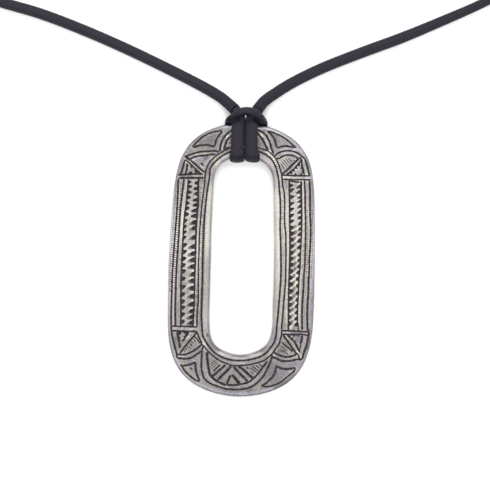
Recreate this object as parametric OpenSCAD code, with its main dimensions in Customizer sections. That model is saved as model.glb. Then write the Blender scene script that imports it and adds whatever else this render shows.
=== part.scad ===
// An open oblong silver pendant that lies on a table, with a cord hitched to its top bar.
// The cord is a closed loop, laid out round the place where a neck goes, with a barrel clasp.
// X is across the pendant, Y runs along it towards the cord, and Z is up from the table.

/* [Frame] */
// Length of the frame, end to end
frame_l = 64.5; // [64:0.1:65]
// Width of the frame at half its length
frame_w = 34.4; // [33:0.1:36]
// Thickness of the frame
frame_t = 2.5; // [2:0.1:3]
// Share by which the lower end is wider, and the upper end narrower
frame_taper = 0.03; // [0:0.01:0.06]

/* [Opening] */
// Length of the opening in the frame
open_l = 46.8; // [46.6:0.1:47]
// Width of the opening at half its length
open_w = 14.7; // [14:0.1:15.5]
// How far the middle of the opening lies from the pattern's middle line, towards the cord
open_shift = 0.8; // [0.7:0.1:1]
// Width of the smooth sloping rim round the opening
rim_w = 1.7; // [1:0.1:2.2]
// Depth of the sloping rim at the opening
rim_drop = 1.2; // [0.6:0.1:1.5]

/* [Cord] */
// Diameter of the cord
cord_d = 2.5; // [2.2:0.1:2.6]
// Width of the cord where it is pressed flat on the top bar
flat_w = 2.9; // [2.6:0.1:3]
// Thickness of the cord where it is pressed flat
flat_t = 1.8; // [1.6:0.1:2]

/* [Clasp] */
// Length of the barrel clasp
clasp_l = 16; // [12:1:18]
// Diameter of the barrel clasp
clasp_d = 5; // [4.6:0.1:6]
// Depth to which a cord's end goes into the clasp
socket_l = 4; // [3:0.5:5]

/* [Hidden] */

// Clearance between the cord and what it lies on or goes into
gap = 0.1;

// The two outlines follow x = half width * (1 - |y / half length| ^ ends) ^ (1 / sides).
// Larger exponents make squarer corners.
frame_ends = 5.2;
frame_sides_below = 1.9;
frame_sides_above = 2.1;
open_ends = 11.5;
open_sides = 1.5;
open_taper = 0.027;
// The opening leans by this angle from the frame's length, as the hand-made piece does
open_lean = 0.5;
// The frame's middle lies this far from the pattern's middle line, away from the cord
frame_shift = -0.2;
// The outlines are drawn through this many stations all round
stations = 96;

// Height and width of the filed edge at the front and of the eased edge at the back
front_edge = 0.5;
back_edge = 0.3;

// The frame's section, from the opening's wall over the front to the outer wall and back.
// Each row is [side, inset from that side's outline, height].
OPENING = 0;
OUTSIDE = 1;
section = [
    [OPENING, back_edge, 0],
    [OPENING, 0, back_edge],
    [OPENING, 0, frame_t - rim_drop],
    [OPENING, 0.12 * rim_w, frame_t - 0.62 * rim_drop],
    [OPENING, 0.38 * rim_w, frame_t - 0.28 * rim_drop],
    [OPENING, 0.7 * rim_w, frame_t - 0.07 * rim_drop],
    [OPENING, rim_w, frame_t],
    [OUTSIDE, front_edge, frame_t],
    [OUTSIDE, 0.3 * front_edge, frame_t - 0.3 * front_edge],
    [OUTSIDE, 0, frame_t - front_edge],
    [OUTSIDE, 0, back_edge],
    [OUTSIDE, back_edge, 0]
];

// The frame rests on its lower back edge and on the cord behind its top bar, so it tilts a little
turn_y = open_l / 2 + open_shift;
back_t = 1.6;
foot_y = frame_shift - frame_l / 2 + back_edge;
tilt = asin((gap + back_t) / (turn_y - foot_y));

// The hitch, in the frame's own plane, in millimetres. Each row is a place of the cord's middle,
// across, along and up, and the cord's width and thickness there. The strands start under the
// arch and come down over the front of the top bar.
front_z = frame_t + gap + flat_t / 2;
back_z = -(gap + back_t / 2);
left_strand = [
    [-2.55, 35.05, 0.25, 2.4, 2.3],
    [-1.95, 34.4, 0.7, 2.2, 2.1],
    [-1.65, 33.7, 1.6, 2.1, 1.8],
    [-1.6, 33.0, 2.6, 2.2, 1.7],
    [-1.74, 32.1, 3.35, 2.7, 1.7],
    [-1.88, 30.4, front_z, flat_w, flat_t],
    [-1.82, 28.0, front_z, flat_w, flat_t],
    [-1.8, 26.0, front_z, 3.0, flat_t],
    [-1.85, 24.5, 3.2, 3.3, 1.6]
];
right_strand = [
    [2.6, 35.2, 0.25, 2.4, 2.3],
    [2.1, 34.45, 0.7, 2.2, 2.1],
    [1.6, 33.7, 1.6, 2.1, 1.8],
    [1.22, 33.0, 2.6, 2.3, 1.7],
    [1.18, 32.1, 3.35, 2.7, 1.7],
    [1.27, 30.4, front_z, flat_w, flat_t],
    [1.42, 28.0, front_z, flat_w, flat_t],
    [1.6, 26.0, front_z, 3.0, flat_t],
    [1.75, 24.5, 3.2, 3.3, 1.6]
];
// The left half of the rest: round the opening's edge, up behind the bar, and over the arch
wrap_half = [
    [-1.82, 23.6, 2.5, 3.35, 1.3],
    [-1.8, 23.1, 1.5, 3.35, 1.05],
    [-1.8, 23.05, 0.6, 3.35, 1.05],
    [-1.85, 23.35, -0.35, 3.2, 1.15],
    [-2.1, 24.3, -0.9, 3.0, 1.4],
    [-2.6, 26.6, back_z, 2.9, back_t],
    [-3.3, 29.4, back_z, 2.6, back_t],
    [-3.85, 31.3, -0.88, 2.2, back_t],
    [-4.0, 32.35, -0.45, 2.0, 1.6],
    [-3.98, 32.8, 0.6, 1.9, 1.6],
    [-3.97, 32.95, 1.8, 1.9, 1.8],
    [-3.97, 33.15, 3.1, 1.9, 1.9],
    [-3.55, 33.6, 4.3, 2.0, 2.0],
    [-2.4, 34.3, 5.05, 2.0, 2.0],
    [-1.2, 34.7, 5.35, 2.0, 2.0],
    [0, 34.8, 5.4, 2.0, 2.0]
];
wrap = concat(wrap_half, [for (i = [len(wrap_half) - 2 : -1 : 0]) mirrored(wrap_half[i])]);
hitch_route = concat(left_strand, wrap, [for (i = [len(right_strand) - 1 : -1 : 0]) right_strand[i]]);

// The cord's routes from the hitch to the clasp, laid on the table, in millimetres
left_route = [
    [-2.68, 35.4, 2.2],
    [-3.3, 36.0, 1.75],
    [-4.6, 37.1, 1.35],
    [-6.5, 38.5, 1.25],
    [-11.1, 41.0, 1.25],
    [-20.7, 45.5, 1.25],
    [-30.3, 49.7, 1.25],
    [-39.9, 53.5, 1.25],
    [-49.5, 56.8, 1.25],
    [-59.0, 59.3, 1.25],
    [-66.5, 62.0, 1.25],
    [-72.5, 66.6, 1.25],
    [-76.2, 73.4, 1.25],
    [-76.9, 81.5, 1.25],
    [-74.8, 90.5, 1.25],
    [-69.9, 99.0, 1.25],
    [-62.0, 106.0, 1.25],
    [-51.5, 111.3, 1.25],
    [-39.0, 114.7, 1.25],
    [-25.0, 116.2, 1.5],
    [-14.0, 116.5, 2.2],
    [-4.5, 116.6, 2.5]
];
right_route = [
    [2.66, 35.5, 2.23],
    [3.2, 36.3, 1.78],
    [4.2, 37.6, 1.35],
    [6.2, 39.2, 1.25],
    [10.7, 42.2, 1.25],
    [17.7, 45.9, 1.25],
    [27.0, 49.9, 1.25],
    [36.4, 53.7, 1.25],
    [45.7, 57.9, 1.25],
    [55.1, 62.4, 1.25],
    [62.5, 66.8, 1.25],
    [68.7, 72.0, 1.25],
    [73.3, 78.8, 1.25],
    [75.0, 87.0, 1.25],
    [73.4, 95.3, 1.25],
    [67.8, 103.0, 1.25],
    [59.0, 109.2, 1.25],
    [48.0, 113.3, 1.25],
    [36.0, 115.5, 1.25],
    [24.0, 116.3, 1.5],
    [14.0, 116.5, 2.2],
    [4.5, 116.6, 2.5]
];

// Where the clasp lies, along Y
clasp_y = 116.6;

// How finely the cords are drawn
cord_sides = 8;
hitch_sides = 12;
steps_between = 2;

// A number's sign, with 1 for 0
function side(x) = x < 0 ? -1 : 1;

function mirrored(row) = [-row.x, row.y, row.z, row[3], row[4]];

// The middle of a row's place, and its size
function place(row) = [row.x, row.y, row.z];

// A point of an outline, at an angle round it
function outline(angle, half_w, half_l, taper, ends, sides, lean, shift) = let (
    y = sin(angle),
    x = side(cos(angle)) * (1 - taper * y) * pow(max(0, 1 - pow(abs(y), ends)), 1 / sides) * half_w,
    along = y * half_l
) [x * cos(lean) - along * sin(lean), x * sin(lean) + along * cos(lean) + shift];

function frame_point(angle) = let (
    sides = frame_sides_below + (frame_sides_above - frame_sides_below) * (1 + sin(angle)) / 2
) outline(angle, frame_w / 2, frame_l / 2, frame_taper, frame_ends, sides, 0, frame_shift);
function open_point(angle) =
    outline(angle, open_w / 2, open_l / 2, open_taper, open_ends, open_sides, open_lean, open_shift);

// The direction out of an outline at an angle round it
function outward(before, after) = let (d = after - before) [d.y, -d.x] / norm(d);

// A point of the frame's section at an angle round it
function section_point(row, angle) = let (
    reach = 1.5,
    inner = row[0] == OPENING,
    here = inner ? open_point(angle) : frame_point(angle),
    before = inner ? open_point(angle - reach) : frame_point(angle - reach),
    after = inner ? open_point(angle + reach) : frame_point(angle + reach),
    moved = here + outward(before, after) * row[1] * (inner ? 1 : -1)
) [moved.x, moved.y, row[2]];

// Faces of a closed band of rings that joins its last ring to its first
function ring_band(rings, points) = [
    for (i = [0 : rings - 1], j = [0 : points - 1]) let (
        a = i * points + j,
        b = i * points + (j + 1) % points,
        c = ((i + 1) % rings) * points + (j + 1) % points,
        d = ((i + 1) % rings) * points + j
    ) each [[a, b, c], [a, c, d]]
];

// A smooth line through rows of numbers, with the given steps between two of them
function passing(a, b, c, d, t) =
    0.5 * (2 * b + (c - a) * t + (2 * a - 5 * b + 4 * c - d) * t * t + (3 * b - a - 3 * c + d) * t * t * t);
function smooth_line(rows, steps) = let (last = len(rows) - 1) [
    for (i = [0 : last - 1], k = [0 : steps - 1]) passing(
        i > 0 ? rows[i - 1] : 2 * rows[0] - rows[1],
        rows[i],
        rows[i + 1],
        i < last - 1 ? rows[i + 2] : 2 * rows[last] - rows[last - 1],
        k / steps
    ),
    rows[last]
];

function unit(v) = v / norm(v);

// The direction of a line of places at one of them
function heading(line, i) = unit(line[min(i + 1, len(line) - 1)] - line[max(i - 1, 0)]);

// The direction across a line at each of its places, carried along it without twist
function across(line, start, i = 0, so_far = []) = i == len(line) ? so_far : let (
    along = heading(line, i),
    carried = i == 0 ? start : so_far[i - 1],
    flat = unit(carried - (carried * along) * along)
) across(line, start, i + 1, concat(so_far, [flat]));

// The same directions, all turned about the line so that one place has the wanted direction
function across_from(line, wanted, at) = let (
    raw = across(line, wanted),
    up = cross(heading(line, at), raw[at]),
    turn = atan2(wanted * up, wanted * raw[at])
) [for (i = [0 : len(line) - 1]) raw[i] * cos(turn) + cross(heading(line, i), raw[i]) * sin(turn)];

// A closed tube along a line, with a width and a thickness at each place. At one of the places
// its width lies along the wanted direction.
module tube(line, sizes, sides, wanted, at = 0) {
    rings = len(line);
    wide = across_from(line, wanted, at);
    points = [
        for (i = [0 : rings - 1], j = [0 : sides - 1]) let (
            turn = 360 * j / sides,
            thick = cross(heading(line, i), wide[i])
        ) line[i] + wide[i] * cos(turn) * sizes[i][0] / 2 + thick * sin(turn) * sizes[i][1] / 2
    ];
    walls = [
        for (i = [0 : rings - 2], j = [0 : sides - 1]) let (
            a = i * sides + j,
            b = i * sides + (j + 1) % sides,
            c = a + sides,
            d = b + sides
        ) each [[a, b, d], [a, d, c]]
    ];
    first_end = [for (j = [1 : sides - 2]) [0, j + 1, j]];
    base = (rings - 1) * sides;
    last_end = [for (j = [1 : sides - 2]) [base, base + j, base + j + 1]];
    polyhedron([for (p = points) p], [for (f = concat(walls, first_end, last_end)) [f[0], f[2], f[1]]]);
}

// Puts what is drawn in the frame's own plane down on the table, at its tilt
module laid() {
    lean_back = (frame_t - front_edge + back_edge) / 2 * sin(tilt);
    translate([0, (foot_y - frame_shift) * cos(tilt) + lean_back, 0])
        rotate([tilt, 0, 0])
            translate([0, -foot_y, 0])
                children();
}

// The silver frame
module pendant_frame() {
    rings = [for (i = [0 : stations - 1], row = section) section_point(row, 360 * i / stations)];
    color("silver")
        laid()
            polyhedron(rings, ring_band(stations, len(section)));
}

// The lark's head hitch round the top bar
module cord_hitch() {
    rows = smooth_line(hitch_route, steps_between);
    on_the_front = 5 * steps_between;
    color("#26242b")
        laid()
            tube([for (r = rows) place(r)], [for (r = rows) [r[3], r[4]]], hitch_sides, [1, 0, 0], on_the_front);
}

// One side of the cord, from the hitch to the clasp
module laid_cord(route) {
    line = smooth_line(route, steps_between);
    color("#2b2932")
        tube(line, [for (p = line) [cord_d, cord_d]], cord_sides, [0, 0, 1]);
}

module neck_cord_left() {
    laid_cord(left_route);
}

module neck_cord_right() {
    laid_cord(right_route);
}

// The barrel clasp at the back of the neck, with a socket in each end
module clasp() {
    half = clasp_l / 2;
    r = clasp_d / 2;
    socket_r = cord_d / 2 + gap;
    profile = [
        [0, -half + socket_l],
        [socket_r, -half + socket_l],
        [socket_r, -half],
        [r - 0.7, -half],
        [r - 0.3, -half + 0.4],
        [r - 0.3, -half + 3.2],
        [r, -half + 3.6],
        [r, half - 3.6],
        [r - 0.3, half - 3.2],
        [r - 0.3, half - 0.4],
        [r - 0.7, half],
        [socket_r, half],
        [socket_r, half - socket_l],
        [0, half - socket_l]
    ];
    color("gainsboro")
        translate([0, clasp_y, r])
            rotate([0, 90, 0])
                rotate_extrude($fn = 48)
                    polygon(profile);
}

pendant_frame();
cord_hitch();
neck_cord_left();
neck_cord_right();
clasp();
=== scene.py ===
"""An engraved silver pendant on a black braided cord, laid on a pale table.

Lengths are in metres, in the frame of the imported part. The hitch and the engraving are drawn in
the pendant's own plane, in millimetres: u across it, v along it towards the cord, and w up from
its back.
"""

import logging
import math
from dataclasses import dataclass
from enum import Enum

import bpy
import numpy as np
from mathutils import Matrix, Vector
from mathutils.geometry import delaunay_2d_cdt


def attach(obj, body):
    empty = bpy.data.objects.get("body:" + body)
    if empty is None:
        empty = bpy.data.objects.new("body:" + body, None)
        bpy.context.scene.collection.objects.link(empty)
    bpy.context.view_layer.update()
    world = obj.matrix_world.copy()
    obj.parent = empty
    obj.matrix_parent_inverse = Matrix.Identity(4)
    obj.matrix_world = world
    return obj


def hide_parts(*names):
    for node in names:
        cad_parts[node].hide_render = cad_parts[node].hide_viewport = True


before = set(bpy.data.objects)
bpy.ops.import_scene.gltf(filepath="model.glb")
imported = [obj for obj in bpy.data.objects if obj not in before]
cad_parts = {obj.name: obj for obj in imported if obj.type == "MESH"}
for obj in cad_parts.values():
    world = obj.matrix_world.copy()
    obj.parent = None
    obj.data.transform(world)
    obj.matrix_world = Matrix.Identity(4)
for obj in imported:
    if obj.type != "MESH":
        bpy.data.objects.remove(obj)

LOG = logging.getLogger("pendant")
MM = 0.001
BODY = "root"


class Slot(Enum):
    """The record's material slots."""

    SILVER = "silver"
    CORD = "black_cord"


class Bite(Enum):
    """How deep a cut goes, in millimetres, and how dark its tarnish is, from 0 to 1."""

    DEEP = (0.17, 1.0)
    PLAIN = (0.13, 0.95)
    HALF = (0.03, 0.88)
    FAINT = (0.03, 0.45)
    TOUCH = (0.02, 0.28)


# Node trees

@dataclass(frozen=True)
class Field:
    """An output of a node tree, with the signs of arithmetic.

    Attributes:
        bench: The bench that the output's node stands on.
        socket: The output itself.
    """

    bench: "NodeBench"
    socket: bpy.types.NodeSocket

    def __add__(self, other: "Field | float") -> "Field":
        """The sum of the two."""
        return self.bench.math("ADD", self, other)

    def __sub__(self, other: "Field | float") -> "Field":
        """The difference of the two."""
        return self.bench.math("SUBTRACT", self, other)

    def __mul__(self, other: "Field | float") -> "Field":
        """The product of the two."""
        return self.bench.math("MULTIPLY", self, other)

    def __truediv__(self, other: "Field | float") -> "Field":
        """The one divided by the other."""
        return self.bench.math("DIVIDE", self, other)


class NodeBench:
    """Adds nodes to one tree and joins them."""

    def __init__(self, tree: bpy.types.NodeTree) -> None:
        """Takes the tree that the nodes go into."""
        self.tree = tree

    def feed(self, socket: bpy.types.NodeSocket, value: object) -> None:
        """Joins a field to an input, or sets the input to a plain value.

        Args:
            socket: The input.
            value: A field, an output or a plain value.
        """
        if isinstance(value, Field):
            self.tree.links.new(value.socket, socket)
        elif isinstance(value, bpy.types.NodeSocket):
            self.tree.links.new(value, socket)
        else:
            socket.default_value = value

    def node(self, kind: str, inputs: dict | None = None, **settings: object) -> bpy.types.Node:
        """Adds a node.

        Args:
            kind: The node's type.
            inputs: Values for the inputs, by name or number.
            **settings: The node's own settings.

        Returns:
            The new node.
        """
        made = self.tree.nodes.new(kind)
        for name, value in settings.items():
            setattr(made, name, value)
        for key, value in (inputs or {}).items():
            self.feed(made.inputs[key], value)
        return made

    def field(self, node: bpy.types.Node, output: str | int = 0) -> Field:
        """The named or numbered output of a node, as a field."""
        return Field(self, node.outputs[output])

    def math(self, operation: str, *values: Field | float) -> Field:
        """Works out a number from others.

        Args:
            operation: The operation of the math node.
            *values: What it works on.

        Returns:
            The result.
        """
        return self.field(self.node("ShaderNodeMath", dict(enumerate(values)), operation=operation))

    def vector(self, operation: str, *values: object) -> Field:
        """Works out a vector from others.

        Args:
            operation: The operation of the vector math node. SCALE takes a vector and a number.
            *values: What it works on.

        Returns:
            The result.
        """
        made = self.node("ShaderNodeVectorMath", operation=operation)
        self.feed(made.inputs[0], values[0])
        if operation == "SCALE":
            self.feed(made.inputs["Scale"], values[1])
        elif len(values) > 1:
            self.feed(made.inputs[1], values[1])
        return self.field(made)

    def ramp(self, factor: Field, low: float, high: float, start: float = 0.0, end: float = 1.0) -> Field:
        """Maps a range of numbers smoothly to another one.

        Args:
            factor: The number that is mapped.
            low: The value of it that gives start.
            high: The value of it that gives end.
            start: The first result.
            end: The last result.

        Returns:
            The mapped number.
        """
        inputs = {"Value": factor, "From Min": low, "From Max": high, "To Min": start, "To Max": end}
        return self.field(self.node("ShaderNodeMapRange", inputs, interpolation_type="SMOOTHSTEP"))

    def mix(self, factor: Field | float, first: object, second: object) -> Field:
        """Mixes two colours.

        Args:
            factor: The share of the second colour.
            first: The first colour.
            second: The second colour.

        Returns:
            The mixed colour.
        """
        made = self.node("ShaderNodeMix", data_type="RGBA")
        for number, value in ((0, factor), (6, first), (7, second)):
            self.feed(made.inputs[number], value)
        return self.field(made, 2)


class Surface:
    """A material that is being painted, with its shader and its place on the piece."""

    def __init__(self, name: str, roughness: float, metallic: float = 0.0) -> None:
        """Makes a material with one shader.

        Args:
            name: The material's name.
            roughness: The shader's roughness.
            metallic: How metallic it is.
        """
        self.material = bpy.data.materials.new(name)
        self.material.use_nodes = True
        tree = self.material.node_tree
        tree.nodes.clear()
        self.bench = NodeBench(tree)
        self.shader = self.bench.node("ShaderNodeBsdfPrincipled", {
            "Roughness": roughness, "Metallic": metallic,
        })
        output = self.bench.node("ShaderNodeOutputMaterial")
        tree.links.new(self.shader.outputs[0], output.inputs["Surface"])
        self.place = self.bench.node("ShaderNodeTexCoord").outputs["Object"]

    def set(self, name: str, value: object) -> None:
        """Sets or joins an input of the shader."""
        self.bench.feed(self.shader.inputs[name], value)

    def stretched(self, scale: tuple[float, float, float], turn: float = 0.0) -> Field:
        """The place on the piece, scaled and turned about Z.

        Args:
            scale: The scale along each axis.
            turn: The turn in degrees.

        Returns:
            The coordinates.
        """
        inputs = {"Vector": self.place, "Scale": scale, "Rotation": (0.0, 0.0, math.radians(turn))}
        return self.bench.field(self.bench.node("ShaderNodeMapping", inputs))

    def noise(self, scale: float, detail: float = 2.0, where: Field | None = None) -> Field:
        """Soft random noise.

        Args:
            scale: How many blotches there are in a metre.
            detail: How much finer noise it has.
            where: The coordinates, if they aren't the plain place on the piece.

        Returns:
            The noise, from 0 to 1.
        """
        inputs = {"Vector": where or self.place, "Scale": scale, "Detail": detail}
        return self.bench.field(self.bench.node("ShaderNodeTexNoise", inputs))

    def attribute(self, name: str) -> Field:
        """The number that the mesh stores under this name."""
        made = self.bench.node("ShaderNodeAttribute", attribute_name=name)
        return self.bench.field(made, "Fac")

    def bump(self, height: Field, strength: float, distance: float) -> None:
        """Roughens the shader's normal by a height.

        Args:
            height: The height, from 0 to 1.
            strength: How much of the bump is used.
            distance: The height's size in metres.
        """
        inputs = {"Height": height, "Strength": strength, "Distance": distance}
        before = self.shader.inputs["Normal"].links
        if before:
            inputs["Normal"] = before[0].from_socket
        self.set("Normal", self.bench.field(self.bench.node("ShaderNodeBump", inputs)))


# Finishes

@dataclass(frozen=True)
class SilverFinish:
    """Hand-filed silver, with tarnish left in its cuts, and painted highlight and shade in its colour.

    Attributes:
        bright: The colour of the silver between the cuts, worn bright by use and painted lighter as a
        highlight.
        dull: The colour of the plain faces.
        warm: The colour of the plain faces where they are yellower.
        patina: The colour of the edge round the front.
        stain: The colour of shallow tarnish.
        tarnish: The colour at the bottom of the cuts.
        cool: The tint of the mottling where it is bluer.
        olive: The tint of the mottling where it is yellower.
        roughness: The roughness of the worn silver.
        blotches_in_metre: How many broad blotches there are in a metre.
        tints_in_metre: How many patches of warmer silver there are in a metre.
        specks_in_metre: How many fine specks there are in a metre.
        hues_in_metre: How many patches of the two tints there are in a metre.
        streaks: How many streaks of the file there are in a metre along each axis.
        middle_y: The place along the pendant where a painted highlight is strongest, in metres; the
        silver is painted darker towards both ends.
    """

    bright: tuple[float, float, float, float] = (0.37, 0.36, 0.332, 1.0)
    dull: tuple[float, float, float, float] = (0.162, 0.153, 0.167, 1.0)
    warm: tuple[float, float, float, float] = (0.2, 0.194, 0.175, 1.0)
    patina: tuple[float, float, float, float] = (0.245, 0.24, 0.268, 1.0)
    stain: tuple[float, float, float, float] = (0.105, 0.088, 0.080, 1.0)
    tarnish: tuple[float, float, float, float] = (0.026, 0.022, 0.030, 1.0)
    cool: tuple[float, float, float, float] = (1.0, 0.965, 1.03, 1.0)
    olive: tuple[float, float, float, float] = (1.0, 1.0, 0.93, 1.0)
    roughness: float = 0.38
    blotches_in_metre: float = 380.0
    tints_in_metre: float = 520.0
    specks_in_metre: float = 2600.0
    hues_in_metre: float = 1100.0
    streaks: tuple[float, float, float] = (9000.0, 500.0, 3000.0)
    middle_y: float = 0.005

    def material(self) -> bpy.types.Material:
        """Paints the silver.

        Returns:
            The material.
        """
        paint = Surface("filed_silver", self.roughness, 1.0)
        bench = paint.bench
        along = bench.field(bench.node("ShaderNodeSeparateXYZ", {0: paint.place}), "Y")
        # Painted shade: the silver is painted darker towards both ends, away from a painted highlight across
        # the middle
        ends = bench.ramp(bench.math("ABSOLUTE", along - self.middle_y), 0.003, 0.024, 0.0, 0.34)
        blotches = bench.ramp(paint.noise(self.blotches_in_metre, 4.0), 0.35, 0.7)
        askew = paint.stretched((1.0, 0.7, 1.0), 25.0)
        tints = bench.ramp(paint.noise(self.tints_in_metre, 3.0, askew), 0.4, 0.62)
        specks = bench.ramp(paint.noise(self.specks_in_metre, 3.0), 0.38, 0.66)
        hues = bench.ramp(paint.noise(self.hues_in_metre, 2.0), 0.4, 0.6)
        spread = bench.math("SUBTRACT", 1.05, ends * 0.6)
        # Silver painted lighter between cuts and on the rim: partly real burnish, partly painted highlight
        worn = paint.attribute("ridge") * spread + 0.1 - ends - blotches * 0.12
        plain = bench.mix(tints * 0.85, self.dull, self.warm)
        metal = bench.mix(bench.math("MINIMUM", bench.math("MAXIMUM", worn, 0.0), 1.0), plain, self.bright)
        edged = bench.mix(paint.attribute("border") * (blotches * 0.3 + 0.6), metal, self.patina)
        cut = paint.attribute("tarnish") * (tints * 0.12 + 0.94) + (specks - 0.5) * 0.1
        tone = bench.mix(hues, self.cool, self.olive)
        # Painted light and shade from the patches, the rim and the crowded cuts scale the colour's
        # brightness
        shine = specks * 0.38 + blotches * 0.1 + paint.attribute("polish") + 0.76
        mottled = bench.vector("MULTIPLY", bench.vector("SCALE", edged, shine), tone)
        stained = bench.mix(bench.ramp(cut, 0.04, 0.55), mottled, self.stain)
        black = bench.ramp(cut, 0.35, 1.0) * (hues * -0.2 + 1.0)
        paint.set("Base Color", bench.mix(black, stained, self.tarnish))
        paint.set("Roughness", bench.math("ADD", specks * 0.14 + cut * 0.25, self.roughness - 0.06))
        streaks = paint.noise(1.0, 3.0, paint.stretched(self.streaks))
        paint.bump(streaks, 0.3, 0.00002)
        paint.bump(specks, 0.35, 0.00003)
        return paint.material


@dataclass(frozen=True)
class CordFinish:
    """Black satin cord, tightly braided.

    Attributes:
        crown: The colour on the strands' crowns.
        valley: The colour between the strands, darker as painted shade.
        roughness: The roughness of the satin.
        sheen: How much sheen the fibres have.
        gloss: How much of the light they mirror.
    """

    crown: tuple[float, float, float, float] = (0.0155, 0.0138, 0.024, 1.0)
    valley: tuple[float, float, float, float] = (0.004, 0.0035, 0.006, 1.0)
    roughness: float = 0.6
    sheen: float = 0.03
    gloss: float = 0.2

    def material(self) -> bpy.types.Material:
        """Paints the cord.

        Returns:
            The material.
        """
        paint = Surface("black_satin_cord", self.roughness)
        bench = paint.bench
        # Painted shade: the braid's valleys are painted darker than its crowns
        height = bench.ramp(paint.attribute("crown"), 0.15, 0.9)
        fibres = paint.noise(9000.0, 2.0)
        # Painted shade: the cord is darkened and its sheen and gloss dimmed where the hitch stores painted
        # shade
        lit = bench.math("SUBTRACT", 1.0, paint.attribute("fold"))
        paint.set("Base Color", bench.mix(height * (fibres * 0.5 + 0.75) * lit, self.valley, self.crown))
        paint.set("Roughness", bench.math("ADD", fibres * 0.2, self.roughness - 0.1))
        paint.set("Sheen Weight", lit * self.sheen)
        paint.set("Specular IOR Level", lit * self.gloss)
        paint.set("Sheen Tint", (0.62, 0.58, 0.80, 1.0))
        paint.bump(fibres, 0.35, 0.00004)
        return paint.material


@dataclass(frozen=True)
class ClaspFinish:
    """Plain satin silver plate.

    Attributes:
        plate: The plate's colour.
        worn: The colour where it is rubbed.
        roughness: Its roughness.
    """

    plate: tuple[float, float, float, float] = (0.66, 0.645, 0.62, 1.0)
    worn: tuple[float, float, float, float] = (0.50, 0.485, 0.46, 1.0)
    roughness: float = 0.30

    def material(self) -> bpy.types.Material:
        """Paints the clasp.

        Returns:
            The material.
        """
        paint = Surface("satin_silver_plate", self.roughness, 1.0)
        bench = paint.bench
        turned = paint.noise(1.0, 3.0, paint.stretched((9000.0, 300.0, 300.0)))
        rubbed = bench.ramp(paint.noise(700.0, 3.0), 0.4, 0.7)
        paint.set("Base Color", bench.mix(rubbed * 0.6, self.plate, self.worn))
        paint.set("Roughness", bench.math("ADD", rubbed * 0.15, self.roughness - 0.05))
        paint.bump(turned, 0.3, 0.00002)
        return paint.material


@dataclass(frozen=True)
class TableFinish:
    """The plain pale table."""

    colour: tuple[float, float, float, float] = (0.89, 0.89, 0.895, 1.0)

    def material(self) -> bpy.types.Material:
        """Paints the table.

        Returns:
            The material.
        """
        paint = Surface("pale_table", 0.85)
        grain = paint.bench.ramp(paint.noise(60.0, 3.0), 0.3, 0.7)
        paint.set("Base Color", paint.bench.mix(grain * 0.02, self.colour, (0.9, 0.9, 0.9, 1.0)))
        return paint.material


# Lines

def smooth_line(rows: np.ndarray, steps: int) -> np.ndarray:
    """Draws a smooth line through rows of numbers.

    Args:
        rows: A row of numbers for each place.
        steps: The number of steps from one place to the next.

    Returns:
        The line's rows, the given ones among them.
    """
    padded = np.vstack([2 * rows[0] - rows[1], rows, 2 * rows[-1] - rows[-2]])
    before, start, end, after = padded[:-3], padded[1:-2], padded[2:-1], padded[3:]
    line = []
    for t in np.arange(steps) / steps:
        bend = (2 * before - 5 * start + 4 * end - after) * t * t
        turn = (3 * start - before - 3 * end + after) * t ** 3
        line.append(0.5 * (2 * start + (end - before) * t + bend + turn))
    return np.vstack([np.stack(line, axis=1).reshape(-1, rows.shape[1]), rows[-1:]])


def lengths_along(line: np.ndarray) -> np.ndarray:
    """The length of a line of places up to each of them."""
    return np.concatenate([[0.0], np.cumsum(np.linalg.norm(np.diff(line, axis=0), axis=1))])


def evenly(line: np.ndarray, spacing: float, columns: int) -> np.ndarray:
    """Draws a line again with places at an even spacing.

    Args:
        line: The line's rows.
        spacing: The spacing that is wanted.
        columns: How many of the first columns hold the place.

    Returns:
        The new rows.
    """
    along = lengths_along(line[:, :columns])
    wanted = np.linspace(0.0, along[-1], max(2, round(along[-1] / spacing) + 1))
    return np.stack([np.interp(wanted, along, column) for column in line.T], axis=1)


def headings(line: np.ndarray) -> np.ndarray:
    """The direction of a line at each of its places."""
    ahead = np.vstack([line[1:], line[-1:]]) - np.vstack([line[:1], line[:-1]])
    return ahead / np.linalg.norm(ahead, axis=1, keepdims=True)


def carried_across(line: np.ndarray, wanted: np.ndarray, at: int) -> np.ndarray:
    """The direction across a line, carried along it without twist.

    Args:
        line: The line's places.
        wanted: The direction that it has at one of them.
        at: The number of that place.

    Returns:
        The direction at each place.
    """
    along = headings(line)
    across = np.zeros_like(line)
    start = wanted - along[at] * (wanted @ along[at])
    across[at] = start / np.linalg.norm(start)
    for order in (range(at + 1, len(line)), range(at - 1, -1, -1)):
        before = at
        for i in order:
            flat = across[before] - along[i] * (across[before] @ along[i])
            across[i] = flat / np.linalg.norm(flat)
            before = i
    return across


# The pendant's plane

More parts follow.
